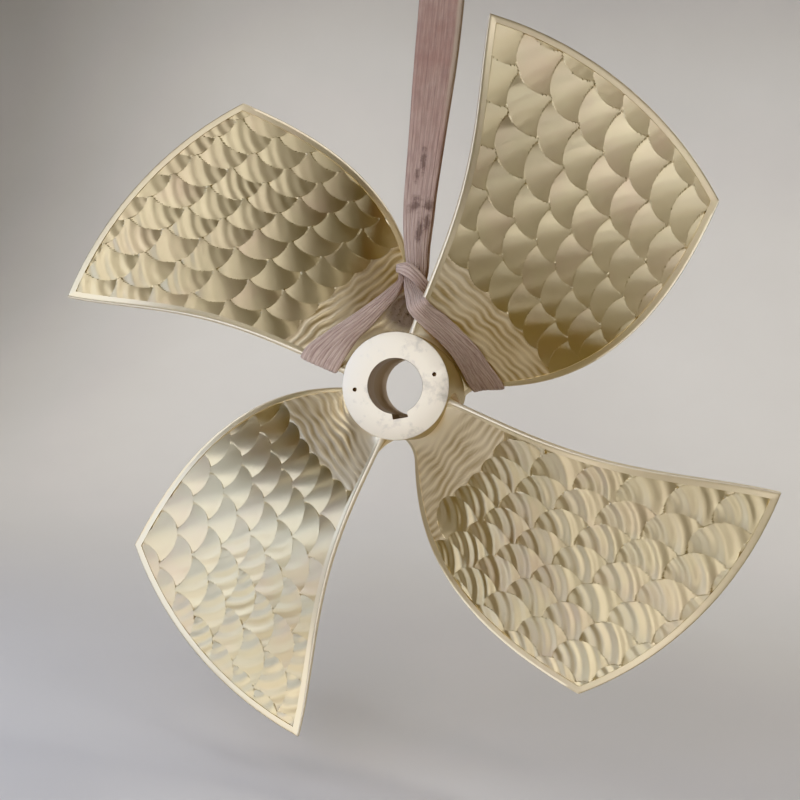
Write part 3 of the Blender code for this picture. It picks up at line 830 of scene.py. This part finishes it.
brush = add_node(tree, "TexNoise", {}, {"Scale": BRUSH_LINES, "Detail": 3.0, "Vector": brush_place})
grain = add_node(tree, "TexNoise", {}, {"Scale": GRAINS, "Detail": 2.0, "Vector": place})
brush_bump = add_node(tree, "Bump", {}, {"Strength": 0.15, "Distance": 0.0004, "Height": brush})
grain_bump = add_node(tree, "Bump", {}, {
    "Strength": 0.10, "Distance": 0.0004, "Height": grain, "Normal": brush_bump,
})
tree.links.new(grain_bump.outputs["Normal"], shader.inputs["Normal"])

for number in range(BLADES):
    blade = make_blade(number)
    blade.data.materials.append(bronze)
    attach(blade, "root")
    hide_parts("propeller_casting")


# Hub: the boss of the same casting, machined on both ends and bored to a taper, with a keyway
# and a relieved middle in the bore. Two small tapped holes are in the aft face.
HUB_CHAMFER = 0.004
HUB_CORNER = (0.001, 0.0012)
AFT_MOUTH = (0.0012, 0.0015)
FORWARD_MOUTH = 0.002
BORE_AFT_RADIUS = 0.0765
BORE_TAPER = 1 / 12
BORE_SEAT_LENGTH = 0.095
BORE_RELIEF_DEPTH = 0.007
BORE_RELIEF_RUN = 0.010
KEYWAY_WIDTH = 0.043
KEYWAY_DEPTH = 0.014
KEYWAY_DEG = 285
KEYWAY_OVERRUN = 1.2
CUTTER_MARGIN = 0.006
TAPPED_HOLE_RADIUS = 0.006
TAPPED_HOLE_DEPTH = 0.030
TAPPED_HOLE_CIRCLE_RADIUS = 0.114
TAPPED_HOLE_DEGS = (21, 190)
HUB_STEPS = 160
HOLE_STEPS = 32
HUB_SHARP_DEG = 30
MERGE_GAP = 0.00005


def bore_radius(depth):
    """The radius of the tapered bore at a depth behind the aft face."""
    return BORE_AFT_RADIUS + depth * BORE_TAPER / 2


relief_ends = (BORE_SEAT_LENGTH, HUB_LENGTH - BORE_SEAT_LENGTH)
relief_floor = bore_radius(HUB_LENGTH / 2) + BORE_RELIEF_DEPTH
hub_profile = [
    (HUB_AFT_RADIUS - HUB_CHAMFER, 0), (HUB_AFT_RADIUS - HUB_CORNER[0], HUB_CORNER[1]),
    (HUB_AFT_RADIUS, HUB_CHAMFER), (HUB_FORWARD_RADIUS, HUB_LENGTH - HUB_CHAMFER),
    (HUB_FORWARD_RADIUS - HUB_CHAMFER, HUB_LENGTH),
    (bore_radius(HUB_LENGTH) + FORWARD_MOUTH, HUB_LENGTH),
    (bore_radius(HUB_LENGTH), HUB_LENGTH - FORWARD_MOUTH),
    (bore_radius(relief_ends[1]), relief_ends[1]), (relief_floor, relief_ends[1] - BORE_RELIEF_RUN),
    (relief_floor, relief_ends[0] + BORE_RELIEF_RUN), (bore_radius(relief_ends[0]), relief_ends[0]),
    (bore_radius(AFT_MOUTH[1]), AFT_MOUTH[1]), (bore_radius(0) + AFT_MOUTH[0], 0),
]
mesh = bpy.data.meshes.new("hub")
corners = [(radius, depth - HUB_LENGTH / 2, 0) for radius, depth in hub_profile]
mesh.from_pydata(corners, [(i, (i + 1) % len(corners)) for i in range(len(corners))], [])
hub = bpy.data.objects.new("hub", mesh)
bpy.context.scene.collection.objects.link(hub)
select_only(hub)
screw = hub.modifiers.new("turning", "SCREW")
screw.axis = "Y"
screw.steps = screw.render_steps = HUB_STEPS
screw.use_merge_vertices = True
screw.merge_threshold = MERGE_GAP
bpy.ops.object.modifier_apply(modifier="turning")
bpy.ops.object.mode_set(mode="EDIT")
bpy.ops.mesh.select_all(action="SELECT")
bpy.ops.mesh.normals_make_consistent(inside=False)
bpy.ops.object.mode_set(mode="OBJECT")


def cut_from_hub(cutter):
    """Cuts one tool's shape out of the hub and removes the tool."""
    bpy.context.view_layer.update()
    cut = hub.modifiers.new("cut", "BOOLEAN")
    cut.operation = "DIFFERENCE"
    cut.solver = "EXACT"
    cut.object = cutter
    select_only(hub)
    bpy.ops.object.modifier_apply(modifier="cut")
    bpy.data.objects.remove(cutter)


bpy.ops.object.select_all(action="DESELECT")
middle = bore_radius(HUB_LENGTH / 2)
reach = math.radians(KEYWAY_DEG)
bpy.ops.mesh.primitive_cube_add(
    size=1, location=(0, 0, 0),
    scale=(2 * (KEYWAY_DEPTH + CUTTER_MARGIN), HUB_LENGTH * KEYWAY_OVERRUN, KEYWAY_WIDTH),
)
keyway = bpy.context.active_object
slant = math.atan(BORE_TAPER / 2)
keyway.matrix_world = (
    Matrix.Rotation(-reach, 4, "Y") @ Matrix.Translation((middle - CUTTER_MARGIN, 0, 0))
    @ Matrix.Rotation(-slant, 4, "Z") @ keyway.matrix_world
)
cut_from_hub(keyway)
for degrees in TAPPED_HOLE_DEGS:
    across = TAPPED_HOLE_CIRCLE_RADIUS * math.cos(math.radians(degrees))
    up = TAPPED_HOLE_CIRCLE_RADIUS * math.sin(math.radians(degrees))
    bpy.ops.object.select_all(action="DESELECT")
    bpy.ops.mesh.primitive_cylinder_add(
        vertices=HOLE_STEPS, radius=TAPPED_HOLE_RADIUS, depth=2 * TAPPED_HOLE_DEPTH,
        location=(across, -HUB_LENGTH / 2, up), rotation=(math.pi / 2, 0, 0),
    )
    cut_from_hub(bpy.context.active_object)

# Machined bronze: turned on a lathe, so it is paler than the ground faces and has fine rings
# round the shaft line. Handling left grey smudges on the aft face, and the bore is browner.
FACE_HEX = "#D7CCB6"
SMUDGE_HEX = "#A89F90"
BORE_HEX = "#B4A088"
BARREL_HEX = "#C8B690"
FACE_EDGES = (0.0012, 0.0022)
BARREL_EDGES = (0.120, 0.125)
# Turning marks to the metre, 3.3 mm apart with finer ones between.
TURNING_MARKS = 300.0
MACHINED_METALLIC = 0.85
MACHINED_ROUGHNESS = 0.5

machined, tree, shader = new_material("turned_manganese_bronze")
shader.inputs["Metallic"].default_value = MACHINED_METALLIC
place = add_node(tree, "TexCoord").outputs["Object"]
split = add_node(tree, "SeparateXYZ", {}, {"Vector": place})
flat = add_node(tree, "CombineXYZ", {}, {"X": split.outputs["X"], "Y": split.outputs["Z"]})
ring = add_node(tree, "VectorMath", {"operation": "LENGTH"}, {0: flat})
ring_place = add_node(tree, "CombineXYZ", {}, {"X": ring, "Y": split.outputs["Y"]})
rings = add_node(tree, "TexNoise", {}, {"Scale": TURNING_MARKS, "Detail": 3.0, "Vector": ring_place})
smudge = add_node(tree, "TexNoise", {}, {
    "Scale": 16.0, "Detail": 6.0, "Roughness": 0.65, "Vector": place,
})
dirt = add_node(tree, "MapRange", {}, {"From Min": 0.53, "From Max": 0.74, "Value": smudge})
colour = add_node(tree, "Mix", {"data_type": "RGBA"}, {
    "Factor": dirt, "A": linear(FACE_HEX), "B": linear(SMUDGE_HEX),
})
beside_middle = add_node(tree, "Math", {"operation": "ABSOLUTE"}, {0: split.outputs["Y"]})
on_side = add_node(tree, "MapRange", {}, {
    "From Min": HUB_LENGTH / 2 - FACE_EDGES[0], "From Max": HUB_LENGTH / 2 - FACE_EDGES[1],
    "Value": beside_middle,
})
on_barrel = add_node(tree, "MapRange", {}, {
    "From Min": BARREL_EDGES[0], "From Max": BARREL_EDGES[1], "Value": ring,
})
side_colour = add_node(tree, "Mix", {"data_type": "RGBA"}, {
    "Factor": on_barrel, "A": linear(BORE_HEX), "B": linear(BARREL_HEX),
})
hub_colour = add_node(tree, "Mix", {"data_type": "RGBA"}, {
    "Factor": on_side, "A": colour, "B": side_colour,
})
tree.links.new(hub_colour.outputs["Result"], shader.inputs["Base Color"])
shader.inputs["Roughness"].default_value = MACHINED_ROUGHNESS
bump = add_node(tree, "Bump", {}, {"Strength": 0.2, "Distance": 0.0004, "Height": rings})
tree.links.new(bump.outputs["Normal"], shader.inputs["Normal"])
hub.data.materials.clear()
hub.data.materials.append(machined)
bpy.ops.object.shade_smooth_by_angle(angle=math.radians(HUB_SHARP_DEG))
hub.select_set(False)
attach(hub, "root")
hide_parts("propeller_casting")


# Webbing: the sling is woven polyester, once reddish and now dusty, so it is matt with a soft sheen,
# and is paler at its bare edges. Its folds carry painted shade: the colour is darker in their
# creases. Oil left dark oval stains on the run.
DUSTY_HEX = "#C0AA96"
LOW_RUN_HEX = "#CCB4A2"
HIGH_RUN_HEX = "#9E6E5C"
WORN_HEX = "#8A6C60"
# Painted shade for the creases of the folds.
FOLD_SHADE_HEX = "#7C645A"
SELVEDGE_HEX = "#B7A58C"
STAIN_HEX = "#5A463C"
STAIN_SHARE = 0.65
STAIN_RAGGED = 0.09
STAIN_EDGES = (0.060, 0.036)
# Patterns to the metre of cloth: lengthwise threads 1.1 mm apart, and a wave that gives crosswise
# ribs 3.5 mm apart.
THREADS = 900.0
RIBS = 90.0
WEBBING_ROUGHNESS = 0.92
WEBBING_SHEEN = 0.25
# Each stain has its place across and up, its reach up and how much narrower it is across.
WEBBING_STAINS = (
    (-0.006, 0.524, 0.014, 1.1), (0.030, 0.530, 0.010, 1.2), (0.010, 0.450, 0.022, 3.0),
    (0.004, 0.655, 0.026, 4.0), (-0.012, 0.610, 0.016, 3.5), (0.028, 0.480, 0.016, 3.0),
)

webbing, tree, shader = new_material("woven_polyester_webbing")
place = add_node(tree, "TexCoord").outputs["Object"]
cloth = add_node(tree, "UVMap", {"uv_map": "cloth_place"})
# The fold mark is painted shade, strongest in the creases of the folds.
painted_fold_shade = add_node(tree, "Attribute", {"attribute_name": "fold"})
fade = add_node(tree, "TexNoise", {}, {"Scale": 14.0, "Detail": 6.0, "Roughness": 0.6, "Vector": place})
streak_place = add_node(tree, "Mapping", {}, {"Scale": (1.0, 0.06, 1.0), "Vector": cloth})
streak = add_node(tree, "TexNoise", {}, {
    "Scale": 260.0, "Detail": 5.0, "Roughness": 0.65, "Vector": streak_place,
})
height = add_node(tree, "SeparateXYZ", {}, {"Vector": place})
up_run = add_node(tree, "MapRange", {}, {
    "From Min": 0.36, "From Max": 1.0, "Value": height.outputs["Z"],
})
base = add_node(tree, "Mix", {"data_type": "RGBA"}, {
    "Factor": up_run, "A": linear(LOW_RUN_HEX), "B": linear(HIGH_RUN_HEX),
})
streaked = add_node(tree, "MapRange", {}, {
    "From Min": 0.42, "From Max": 0.62, "To Max": 0.45, "Value": streak,
})
across_strip = add_node(tree, "Attribute", {"attribute_name": "across_strip"})
selvedge = add_node(tree, "MapRange", {}, {
    "From Min": 0.88, "From Max": 0.92, "Value": across_strip.outputs["Fac"],
})
above_bunch = add_node(tree, "MapRange", {}, {
    "From Min": 0.72, "From Max": 0.90, "To Max": 0.8, "Value": height.outputs["Z"],
})
bare_edge = add_node(tree, "Math", {"operation": "MULTIPLY"}, {0: selvedge, 1: above_bunch})
layers = [
    (DUSTY_HEX, fade), (WORN_HEX, streaked), (FOLD_SHADE_HEX, painted_fold_shade.outputs["Fac"]), (SELVEDGE_HEX, bare_edge),
]
blot = add_node(tree, "TexNoise", {}, {"Scale": 38.0, "Detail": 5.0, "Roughness": 0.7, "Vector": place})
for across, up, reach, narrower in WEBBING_STAINS:
    flat = add_node(tree, "CombineXYZ", {}, {"X": height.outputs["X"], "Z": height.outputs["Z"]})
    apart = add_node(tree, "VectorMath", {"operation": "SUBTRACT"}, {0: flat, 1: (across, 0, up)})
    oval = add_node(tree, "VectorMath", {"operation": "MULTIPLY"}, {0: apart, 1: (narrower, 1.0, 1.0)})
    length = add_node(tree, "VectorMath", {"operation": "LENGTH"}, {0: oval})
    ragged = add_node(tree, "Math", {"operation": "MULTIPLY_ADD"}, {
        0: blot, 1: STAIN_RAGGED, 2: length,
    })
    outer, inner = reach + STAIN_EDGES[0], reach + STAIN_EDGES[1]
    mask = add_node(tree, "MapRange", {}, {
        "From Min": outer, "From Max": inner, "To Max": STAIN_SHARE, "Value": ragged,
    })
    layers.append((STAIN_HEX, mask))
colour = base
for hex_colour, mask in layers:
    colour = add_node(tree, "Mix", {"data_type": "RGBA"}, {
        "Factor": mask, "A": colour, "B": linear(hex_colour),
    })
tree.links.new(colour.outputs["Result"], shader.inputs["Base Color"])
shader.inputs["Roughness"].default_value = WEBBING_ROUGHNESS
shader.inputs["Sheen Weight"].default_value = WEBBING_SHEEN
thread_place = add_node(tree, "Mapping", {}, {"Scale": (1.0, 0.35, 1.0), "Vector": cloth})
thread = add_node(tree, "TexNoise", {}, {"Scale": THREADS, "Detail": 2.0, "Vector": thread_place})
weave = add_node(tree, "TexWave", {"bands_direction": "Y"}, {
    "Scale": RIBS, "Distortion": 2.0, "Detail": 1.0, "Vector": cloth,
})
rough = add_node(tree, "Math", {"operation": "MULTIPLY_ADD"}, {
    0: weave.outputs["Fac"], 1: 0.35, 2: thread,
})
bump = add_node(tree, "Bump", {}, {"Strength": 0.7, "Distance": 0.0012, "Height": rough})
tree.links.new(bump.outputs["Normal"], shader.inputs["Normal"])


def smooth_rows(rows, count):
    """Rows at even steps along a smooth curve through a few given rows."""
    rows = np.asarray(rows, float)
    steps = np.linalg.norm(np.diff(rows, axis=0), axis=-1)
    at = np.concatenate([[0], np.cumsum(steps.reshape(len(steps), -1).mean(axis=1))])
    slopes = np.gradient(rows, at, axis=0)
    wanted = np.linspace(0, at[-1], count)
    i = np.clip(np.searchsorted(at, wanted, side="right") - 1, 0, len(at) - 2)
    span = at[i + 1] - at[i]
    shape = (-1,) + (1,) * (rows.ndim - 1)
    t, span = ((wanted - at[i]) / span).reshape(shape), span.reshape(shape)
    return (
        (2 * t ** 3 - 3 * t ** 2 + 1) * rows[i] + (3 * t ** 2 - 2 * t ** 3) * rows[i + 1]
        + (t ** 3 - 2 * t ** 2 + t) * span * slopes[i] + (t ** 3 - t ** 2) * span * slopes[i + 1]
    )


CAGE_POINTS = 5
STRIP_SQUARENESS = 6
RIDGE_ROUNDNESS = 0.7
FINE_RIDGES = 2.6
FINE_RIDGE_ROUNDNESS = 0.8
FINE_RIDGE_DEPTH = 0.22
BACK_FOLD_SHARE = 0.6
FOLD_SHADE = 0.75
FINE_FOLD_SHADE = 0.3
STRIP_SHARP_DEG = 60


def add_band(name, cage, thickness, folds, fold_depth, rows, columns, seed, twist=0.0):
    """Closed strip of folded webbing along a cage, whose rows run from its left to its right edge.

    Thickness and fold depth are given for each cage row, and the folds run along the strip, each
    with finer ridges in it. Folds wander across the strip and aren't all as deep.
    """
    chance = np.random.default_rng(seed)
    cage = np.asarray(cage, float)
    values = np.stack([np.asarray(thickness, float), np.asarray(fold_depth, float)], axis=1)
    joined = np.concatenate([cage, np.repeat(values[:, :, None], 3, axis=2)], axis=1)
    fine = smooth_rows(joined, rows)
    middle, values = fine[:, :CAGE_POINTS], fine[:, CAGE_POINTS:, 0]
    middle = smooth_rows(np.swapaxes(middle, 0, 1), columns)
    middle = np.swapaxes(middle, 0, 1)
    across = np.gradient(middle, axis=1)
    along = np.gradient(middle, axis=0)
    facing = np.cross(along, across)
    facing /= np.maximum(np.linalg.norm(facing, axis=-1, keepdims=True), NEVER_ZERO)
    u = np.linspace(0, 1, columns)[None, :]
    v = np.linspace(0, 1, rows)[:, None]
    body = (1 - np.abs(2 * u - 1) ** STRIP_SQUARENESS) ** 0.5
    wander = 0
    for k in (1, 2, 3):
        size = chance.uniform(0.15, 0.35)
        waves = k * v * chance.uniform(0.5, 1.0) + chance.uniform() + u
        wander = wander + size * np.sin(2 * math.pi * waves)
    phase = folds * u + twist * v + wander
    weight = 0.65 + 0.35 * np.sin(2 * math.pi * (0.37 * np.floor(phase) + chance.uniform()) + 3 * v)
    ridge = np.abs(np.sin(math.pi * phase)) ** RIDGE_ROUNDNESS
    fine_ridge = np.abs(np.sin(math.pi * (phase * FINE_RIDGES + 0.5 * wander))) ** FINE_RIDGE_ROUNDNESS
    fold = values[:, 1:] * weight * (ridge - 1) + FINE_RIDGE_DEPTH * values[:, 1:] * (fine_ridge - 1)
    thick = values[:, :1] * body
    outer = middle + facing * (thick / 2 + fold * body)[..., None]
    inner = middle - facing * (thick / 2 + BACK_FOLD_SHARE * fold[:, ::-1] * body)[..., None]
    count = 2 * columns - 2
    points = np.concatenate([outer, inner[:, columns - 2:0:-1]], axis=1)
    index, quads = ring_quads(rows, count)
    mesh = bpy.data.meshes.new(name)
    ends = [index[0].tolist(), index[-1][::-1].tolist()]
    mesh.from_pydata(points.reshape(-1, 3), [], [*quads.tolist(), *ends])
    mesh.update()
    width = np.linalg.norm(np.diff(middle, axis=1), axis=-1).sum(axis=1).mean()
    length = np.linalg.norm(np.diff(middle, axis=0), axis=-1).sum(axis=0).mean()
    place_across = np.concatenate([u[0] * width, u[0][columns - 2:0:-1] * width + width])
    place = np.stack([place_across[None, :] + 0 * v, v * length + 0 * place_across[None, :]], axis=-1)
    layer = mesh.uv_layers.new(name="cloth_place")
    corner_place = place.reshape(-1, 2)[quads].ravel()
    layer.uv.foreach_set("vector", np.concatenate([corner_place, np.zeros(4 * count)]).astype(np.float32))
    # Painted shade: the colour darkens in the creases of the folds and of their finer ridges.
    shade = (1 - ridge) ** 2 * FOLD_SHADE * weight + FINE_FOLD_SHADE * (1 - fine_ridge) ** 2
    shade = np.concatenate([shade, shade[:, columns - 2:0:-1]], axis=1)
    mark(mesh, "fold", "FLOAT", "POINT", np.clip(shade, 0, 1))
    across_share = np.concatenate([u[0], u[0][columns - 2:0:-1]])
    mark(mesh, "across_strip", "FLOAT", "POINT", np.tile(across_share, rows))
    band = bpy.data.objects.new(name, mesh)
    bpy.context.scene.collection.objects.link(band)
    mesh.materials.append(webbing)
    select_only(band)
    bpy.ops.object.mode_set(mode="EDIT")
    bpy.ops.mesh.select_all(action="SELECT")
    bpy.ops.mesh.normals_make_consistent(inside=False)
    bpy.ops.object.mode_set(mode="OBJECT")
    bpy.ops.object.shade_smooth_by_angle(angle=math.radians(STRIP_SHARP_DEG))
    band.select_set(False)
    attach(band, "root")
    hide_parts("lifting_sling")


def cage_row(left, right, bulge=0.0):
    """Points from the left to the right edge of a strip, bulged toward the aft side."""
    shares = np.linspace(0, 1, CAGE_POINTS)[:, None]
    row = np.array(left) * (1 - shares) + np.array(right) * shares
    row[:, 1] -= bulge * 4 * (shares * (1 - shares))[:, 0]
    return row


# Webbing is laid on the blades between these two radii, in metres.
LAID_RADII = (HUB_AFT_RADIUS + 0.004, 0.42)
LAID_ROWS = 60


def root_surface(blade):
    """The blade's surface near its root, and its outward normals, for webbing laid on it."""
    radii = np.linspace(*LAID_RADII, LAID_ROWS)
    points, _, _ = blade_surface(radii, blade_columns(), blade)
    return radii, points, surface_normals(points)


def laid_row(surface, column, low, high, lift):
    """Points laid across one column of the blade's surface, from one radius to another."""
    radii, points, normals = surface
    reach = np.linspace(low, high, CAGE_POINTS)
    row = points[:, column] + lift * normals[:, column]
    return np.stack([np.interp(reach, radii, row[:, k]) for k in range(3)], axis=-1)


TRAILING_END = PRESSURE_COLUMNS + TRAILING_COLUMNS
LEADING_START = TRAILING_END + SUCTION_COLUMNS
LAID_LIFT = 0.0085
LAID_THICKNESS = 0.012


def wrapped_rows(surface, columns, ends, first_reach, last_reach):
    """Rows laid on the blade's columns, while their reach goes from one pair of radii to another."""
    rows = []
    for column in columns:
        share = np.clip((column - ends[0]) / (ends[1] - ends[0]), 0, 1)
        left = first_reach[0] + share * (last_reach[0] - first_reach[0])
        right = first_reach[1] + share * (last_reach[1] - first_reach[1])
        rows.append(laid_row(surface, column, left, right, LAID_LIFT))
    return rows


# Hoist run: the sling's two layers, flat at the hook and bunched at the hitch. They are one strap
# that goes up in front, over the hook and down behind, so it is made as one strip.
HOIST_STATIONS = (
    (0.300, 0.0110, 0.0240), (0.340, 0.0113, 0.0290), (0.374, 0.0076, 0.0324), (0.411, 0.0035, 0.0361),
    (0.455, 0.0011, 0.0405), (0.498, 0.0001, 0.0438), (0.541, -0.0006, 0.0453), (0.599, 0.0006, 0.0474),
    (0.685, 0.0033, 0.0505), (0.771, 0.0058, 0.0540), (0.857, 0.0081, 0.0580), (0.943, 0.0105, 0.0612),
    (1.040, 0.0120, 0.0630), (1.130, 0.0125, 0.0640),
)
HOIST_DEPTH = -0.030
HOIST_SPLIT = 0.0062
HOIST_THICKNESS = 0.0095
HOIST_FOLD_DEPTH = 0.0016
BUNCH_SHARE = 0.35
BUNCH_THICKNESS = 0.006
BUNCH_BULGE = 0.010
BUNCH_FOLD_DEPTH = 0.0050
BEHIND_SHIFT = 0.003
EYE_RADIUS = 0.0385
EYE_CENTRE_HEIGHT = 1.335
EYE_TURNS = 8
EYE_THICKNESS = 0.009
EYE_FOLD_DEPTH = 0.0014

hitch_height, hook_height = HOIST_STATIONS[0][0], HOIST_STATIONS[-1][0]
bunches = [
    max(1 - (height - hitch_height) / (hook_height - hitch_height) / BUNCH_SHARE, 0)
    for height, _, _ in HOIST_STATIONS
]


def hoist_rows(side, shift, bulge):
    """The run's cage from the hitch up, on the front side, -1, or behind it, 1."""
    rows = []
    for (height, centre, half), bunch in zip(HOIST_STATIONS, bunches):
        depth = HOIST_DEPTH + side * HOIST_SPLIT + side * BUNCH_THICKNESS * bunch
        left = (centre - half + shift, depth, height)
        right = (centre + half + shift, depth, height)
        rows.append(cage_row(left, right, bulge * bunch))
    return rows


eye_rows = []
centre, half = HOIST_STATIONS[-1][1:]
for turn in np.linspace(0, math.pi, EYE_TURNS):
    depth = HOIST_DEPTH - EYE_RADIUS * math.cos(turn)
    height = EYE_CENTRE_HEIGHT + EYE_RADIUS * math.sin(turn)
    eye_rows.append(cage_row((centre - half, depth, height), (centre + half, depth, height)))
cage = [*hoist_rows(-1, 0, BUNCH_BULGE), *eye_rows, *hoist_rows(1, BEHIND_SHIFT, 0)[::-1]]
thickness = [HOIST_THICKNESS + BUNCH_THICKNESS * bunch for bunch in bunches]
thickness = [*thickness, *[EYE_THICKNESS] * EYE_TURNS, *thickness[::-1]]
depths = [HOIST_FOLD_DEPTH + BUNCH_FOLD_DEPTH * bunch for bunch in bunches]
depths = [*depths, *[EYE_FOLD_DEPTH] * EYE_TURNS, *depths[::-1]]
add_band("hoist_run", cage, thickness, folds=8.5, fold_depth=depths, rows=300, columns=70, seed=3)


# Left leg: from the hitch down over the left blade, round its trailing edge, up behind it and
# round its leading edge back to the hitch.
LEFT_LEG_EDGES = (
    ((-0.039, -0.045, 0.342), (-0.024, -0.045, 0.337)),
    ((-0.034, -0.066, 0.304), (-0.024, -0.066, 0.296)),
    ((-0.057, -0.082, 0.277), (-0.032, -0.078, 0.256)),
    ((-0.083, -0.098, 0.249), (-0.052, -0.090, 0.223)),
    ((-0.152, -0.128, 0.185), (-0.091, -0.108, 0.163)),
    ((-0.214, -0.152, 0.132), (-0.126, -0.126, 0.117)),
)
LEFT_TRAILING_RADII = (0.278, 0.168)
LEFT_LEADING_RADII = (0.362, 0.285)
LEFT_RETURN = (
    ((-0.030, 0.060, 0.345), (-0.034, 0.058, 0.290)), ((-0.020, 0.000, 0.345), (-0.020, 0.000, 0.300)),
)
LEFT_BULGE = 0.004
LEFT_THICKNESS = (0.012, 0.014, LAID_THICKNESS)
LEFT_FOLD_DEPTHS = (0.0030, 0.0028, 0.0020, 0.0016)
BACK_STEPS = 6

surface = root_surface(1)
cage = [cage_row(left, right, LEFT_BULGE) for left, right in LEFT_LEG_EDGES]
wrap_columns = [PRESSURE_COLUMNS, PRESSURE_COLUMNS + 4, TRAILING_END]
wrap_columns += [TRAILING_END + SUCTION_COLUMNS * (k + 1) // BACK_STEPS for k in range(BACK_STEPS)]
wrap_columns += [LEADING_START + 5, LEADING_START + LEADING_COLUMNS - 2]
ends = (PRESSURE_COLUMNS, LEADING_START)
cage += wrapped_rows(surface, wrap_columns, ends, LEFT_TRAILING_RADII, LEFT_LEADING_RADII)
cage += [cage_row(left, right) for left, right in LEFT_RETURN]
count = len(cage)
thickness = np.interp(np.arange(count), (0, 1, 5), LEFT_THICKNESS)
depths = np.interp(np.arange(count), (0, 2, 5, count), LEFT_FOLD_DEPTHS)
add_band("left_leg", cage, thickness, folds=8.0, fold_depth=depths, rows=170, columns=76, seed=11)


# Right leg: from the hitch over the trailing edge of the right blade, down its face, round its
# leading edge and up behind it.
RIGHT_LEG_EDGES = (
    ((-0.026, -0.045, 0.342), (-0.002, -0.045, 0.338)),
    ((-0.018, -0.070, 0.298), (0.017, -0.066, 0.301)),
    ((-0.010, -0.095, 0.275), (0.034, -0.085, 0.279)),
    ((0.004, -0.135, 0.245), (0.057, -0.130, 0.255)),
    ((0.023, -0.168, 0.204), (0.072, -0.176, 0.238)),
)
RIGHT_SHARES = (0.0, 0.07, 0.23, 0.40, 0.60, 0.85, 0.93)
RIGHT_LOW_RADII = (0.184, 0.174, 0.164, 0.160, 0.160, 0.168, 0.176)
RIGHT_HIGH_RADII = (0.284, 0.272, 0.251, 0.242, 0.234, 0.240, 0.242)
RIGHT_BACK_RADII = (0.275, 0.345)
RIGHT_BACK_SHARE = 0.55
RIGHT_BACK_STEPS = 4
RIGHT_BULGE = 0.003
RIGHT_FOLD_DEPTHS = (0.0032, 0.0028, 0.0020, 0.0016)

surface = root_surface(0)
cage = [cage_row(left, right, RIGHT_BULGE) for left, right in RIGHT_LEG_EDGES]
for share, low, high in reversed(list(zip(RIGHT_SHARES, RIGHT_LOW_RADII, RIGHT_HIGH_RADII))):
    cage.append(laid_row(surface, round(share * PRESSURE_COLUMNS), low, high, LAID_LIFT))
last = TRAILING_END + round(SUCTION_COLUMNS * (1 - RIGHT_BACK_SHARE))
back_columns = [LEADING_START + 6, LEADING_START]
back_columns += [
    LEADING_START + (last - LEADING_START) * (k + 1) // RIGHT_BACK_STEPS for k in range(RIGHT_BACK_STEPS)
]
first_reach = (RIGHT_LOW_RADII[0], RIGHT_HIGH_RADII[0])
cage += wrapped_rows(surface, back_columns, (LEADING_START, last), first_reach, RIGHT_BACK_RADII)
count = len(cage)
thickness = np.full(count, LAID_THICKNESS)
depths = np.interp(np.arange(count), (0, 2, 5, count), RIGHT_FOLD_DEPTHS)
add_band("right_leg", cage, thickness, folds=8.0, fold_depth=depths, rows=150, columns=76, seed=12)


# Hitch band: the same strap comes from behind the right blade, crosses in front of the hoist run
# and is rolled up tight where it grips it, then turns back round its left side.
HITCH_EDGES = (
    ((0.046, -0.040, 0.260), (0.064, -0.042, 0.290)),
    ((0.030, -0.066, 0.279), (0.049, -0.068, 0.308)),
    ((0.009, -0.080, 0.301), (0.027, -0.082, 0.330)),
    ((-0.012, -0.082, 0.314), (-0.002, -0.084, 0.351)),
    ((-0.028, -0.072, 0.323), (-0.024, -0.072, 0.349)),
    ((-0.040, -0.045, 0.327), (-0.040, -0.045, 0.352)),
    ((-0.036, -0.010, 0.330), (-0.036, -0.010, 0.355)),
    ((0.000, 0.006, 0.325), (0.000, 0.006, 0.350)),
)
HITCH_THICKNESS = (0.012, 0.012, 0.013, 0.016, 0.020, 0.024, 0.024, 0.022, 0.018, 0.016, 0.012)
HITCH_FOLD_DEPTHS = (0.003, 0.003, 0.0035, 0.004, 0.005, 0.005, 0.005, 0.005, 0.004, 0.004, 0.003)
HITCH_OFF_BLADE = ((0.075, 0.020, 0.250), (0.100, 0.020, 0.300))
HITCH_BULGE = 0.004
# It leaves the blade's back between two columns, by the second a little further out and higher.
HITCH_COLUMNS = (last + 6, last - 12)
HITCH_FURTHER = (0.005, 0.002)
HITCH_HIGHER = 0.004

low, high = RIGHT_BACK_RADII
cage = [
    laid_row(surface, HITCH_COLUMNS[0], low, high, LAID_LIFT),
    laid_row(
        surface, HITCH_COLUMNS[1], low + HITCH_FURTHER[0], high + HITCH_FURTHER[1],
        LAID_LIFT + HITCH_HIGHER,
    ),
    cage_row(*HITCH_OFF_BLADE),
]
cage += [cage_row(left, right, HITCH_BULGE) for left, right in HITCH_EDGES]
add_band(
    "hitch_band", cage, HITCH_THICKNESS,
    folds=4.0, fold_depth=HITCH_FOLD_DEPTHS, rows=220, columns=40, seed=13, twist=-1.5,
)


# Loose strand: a narrow fold of the same strap that hangs behind the left leg.
STRAND_EDGES = (
    ((-0.033, -0.045, 0.319), (-0.020, -0.045, 0.311)),
    ((-0.037, -0.052, 0.288), (-0.022, -0.050, 0.281)),
    ((-0.055, -0.066, 0.254), (-0.041, -0.064, 0.243)),
    ((-0.078, -0.084, 0.221), (-0.065, -0.082, 0.208)),
)
STRAND_BULGE = 0.002
STRAND_THICKNESS = 0.006
STRAND_FOLD_DEPTH = 0.002

cage = [cage_row(left, right, STRAND_BULGE) for left, right in STRAND_EDGES]
add_band(
    "loose_strand", cage, [STRAND_THICKNESS] * len(cage),
    folds=2.0, fold_depth=[STRAND_FOLD_DEPTH] * len(cage), rows=60, columns=16, seed=14,
)


low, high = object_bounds()
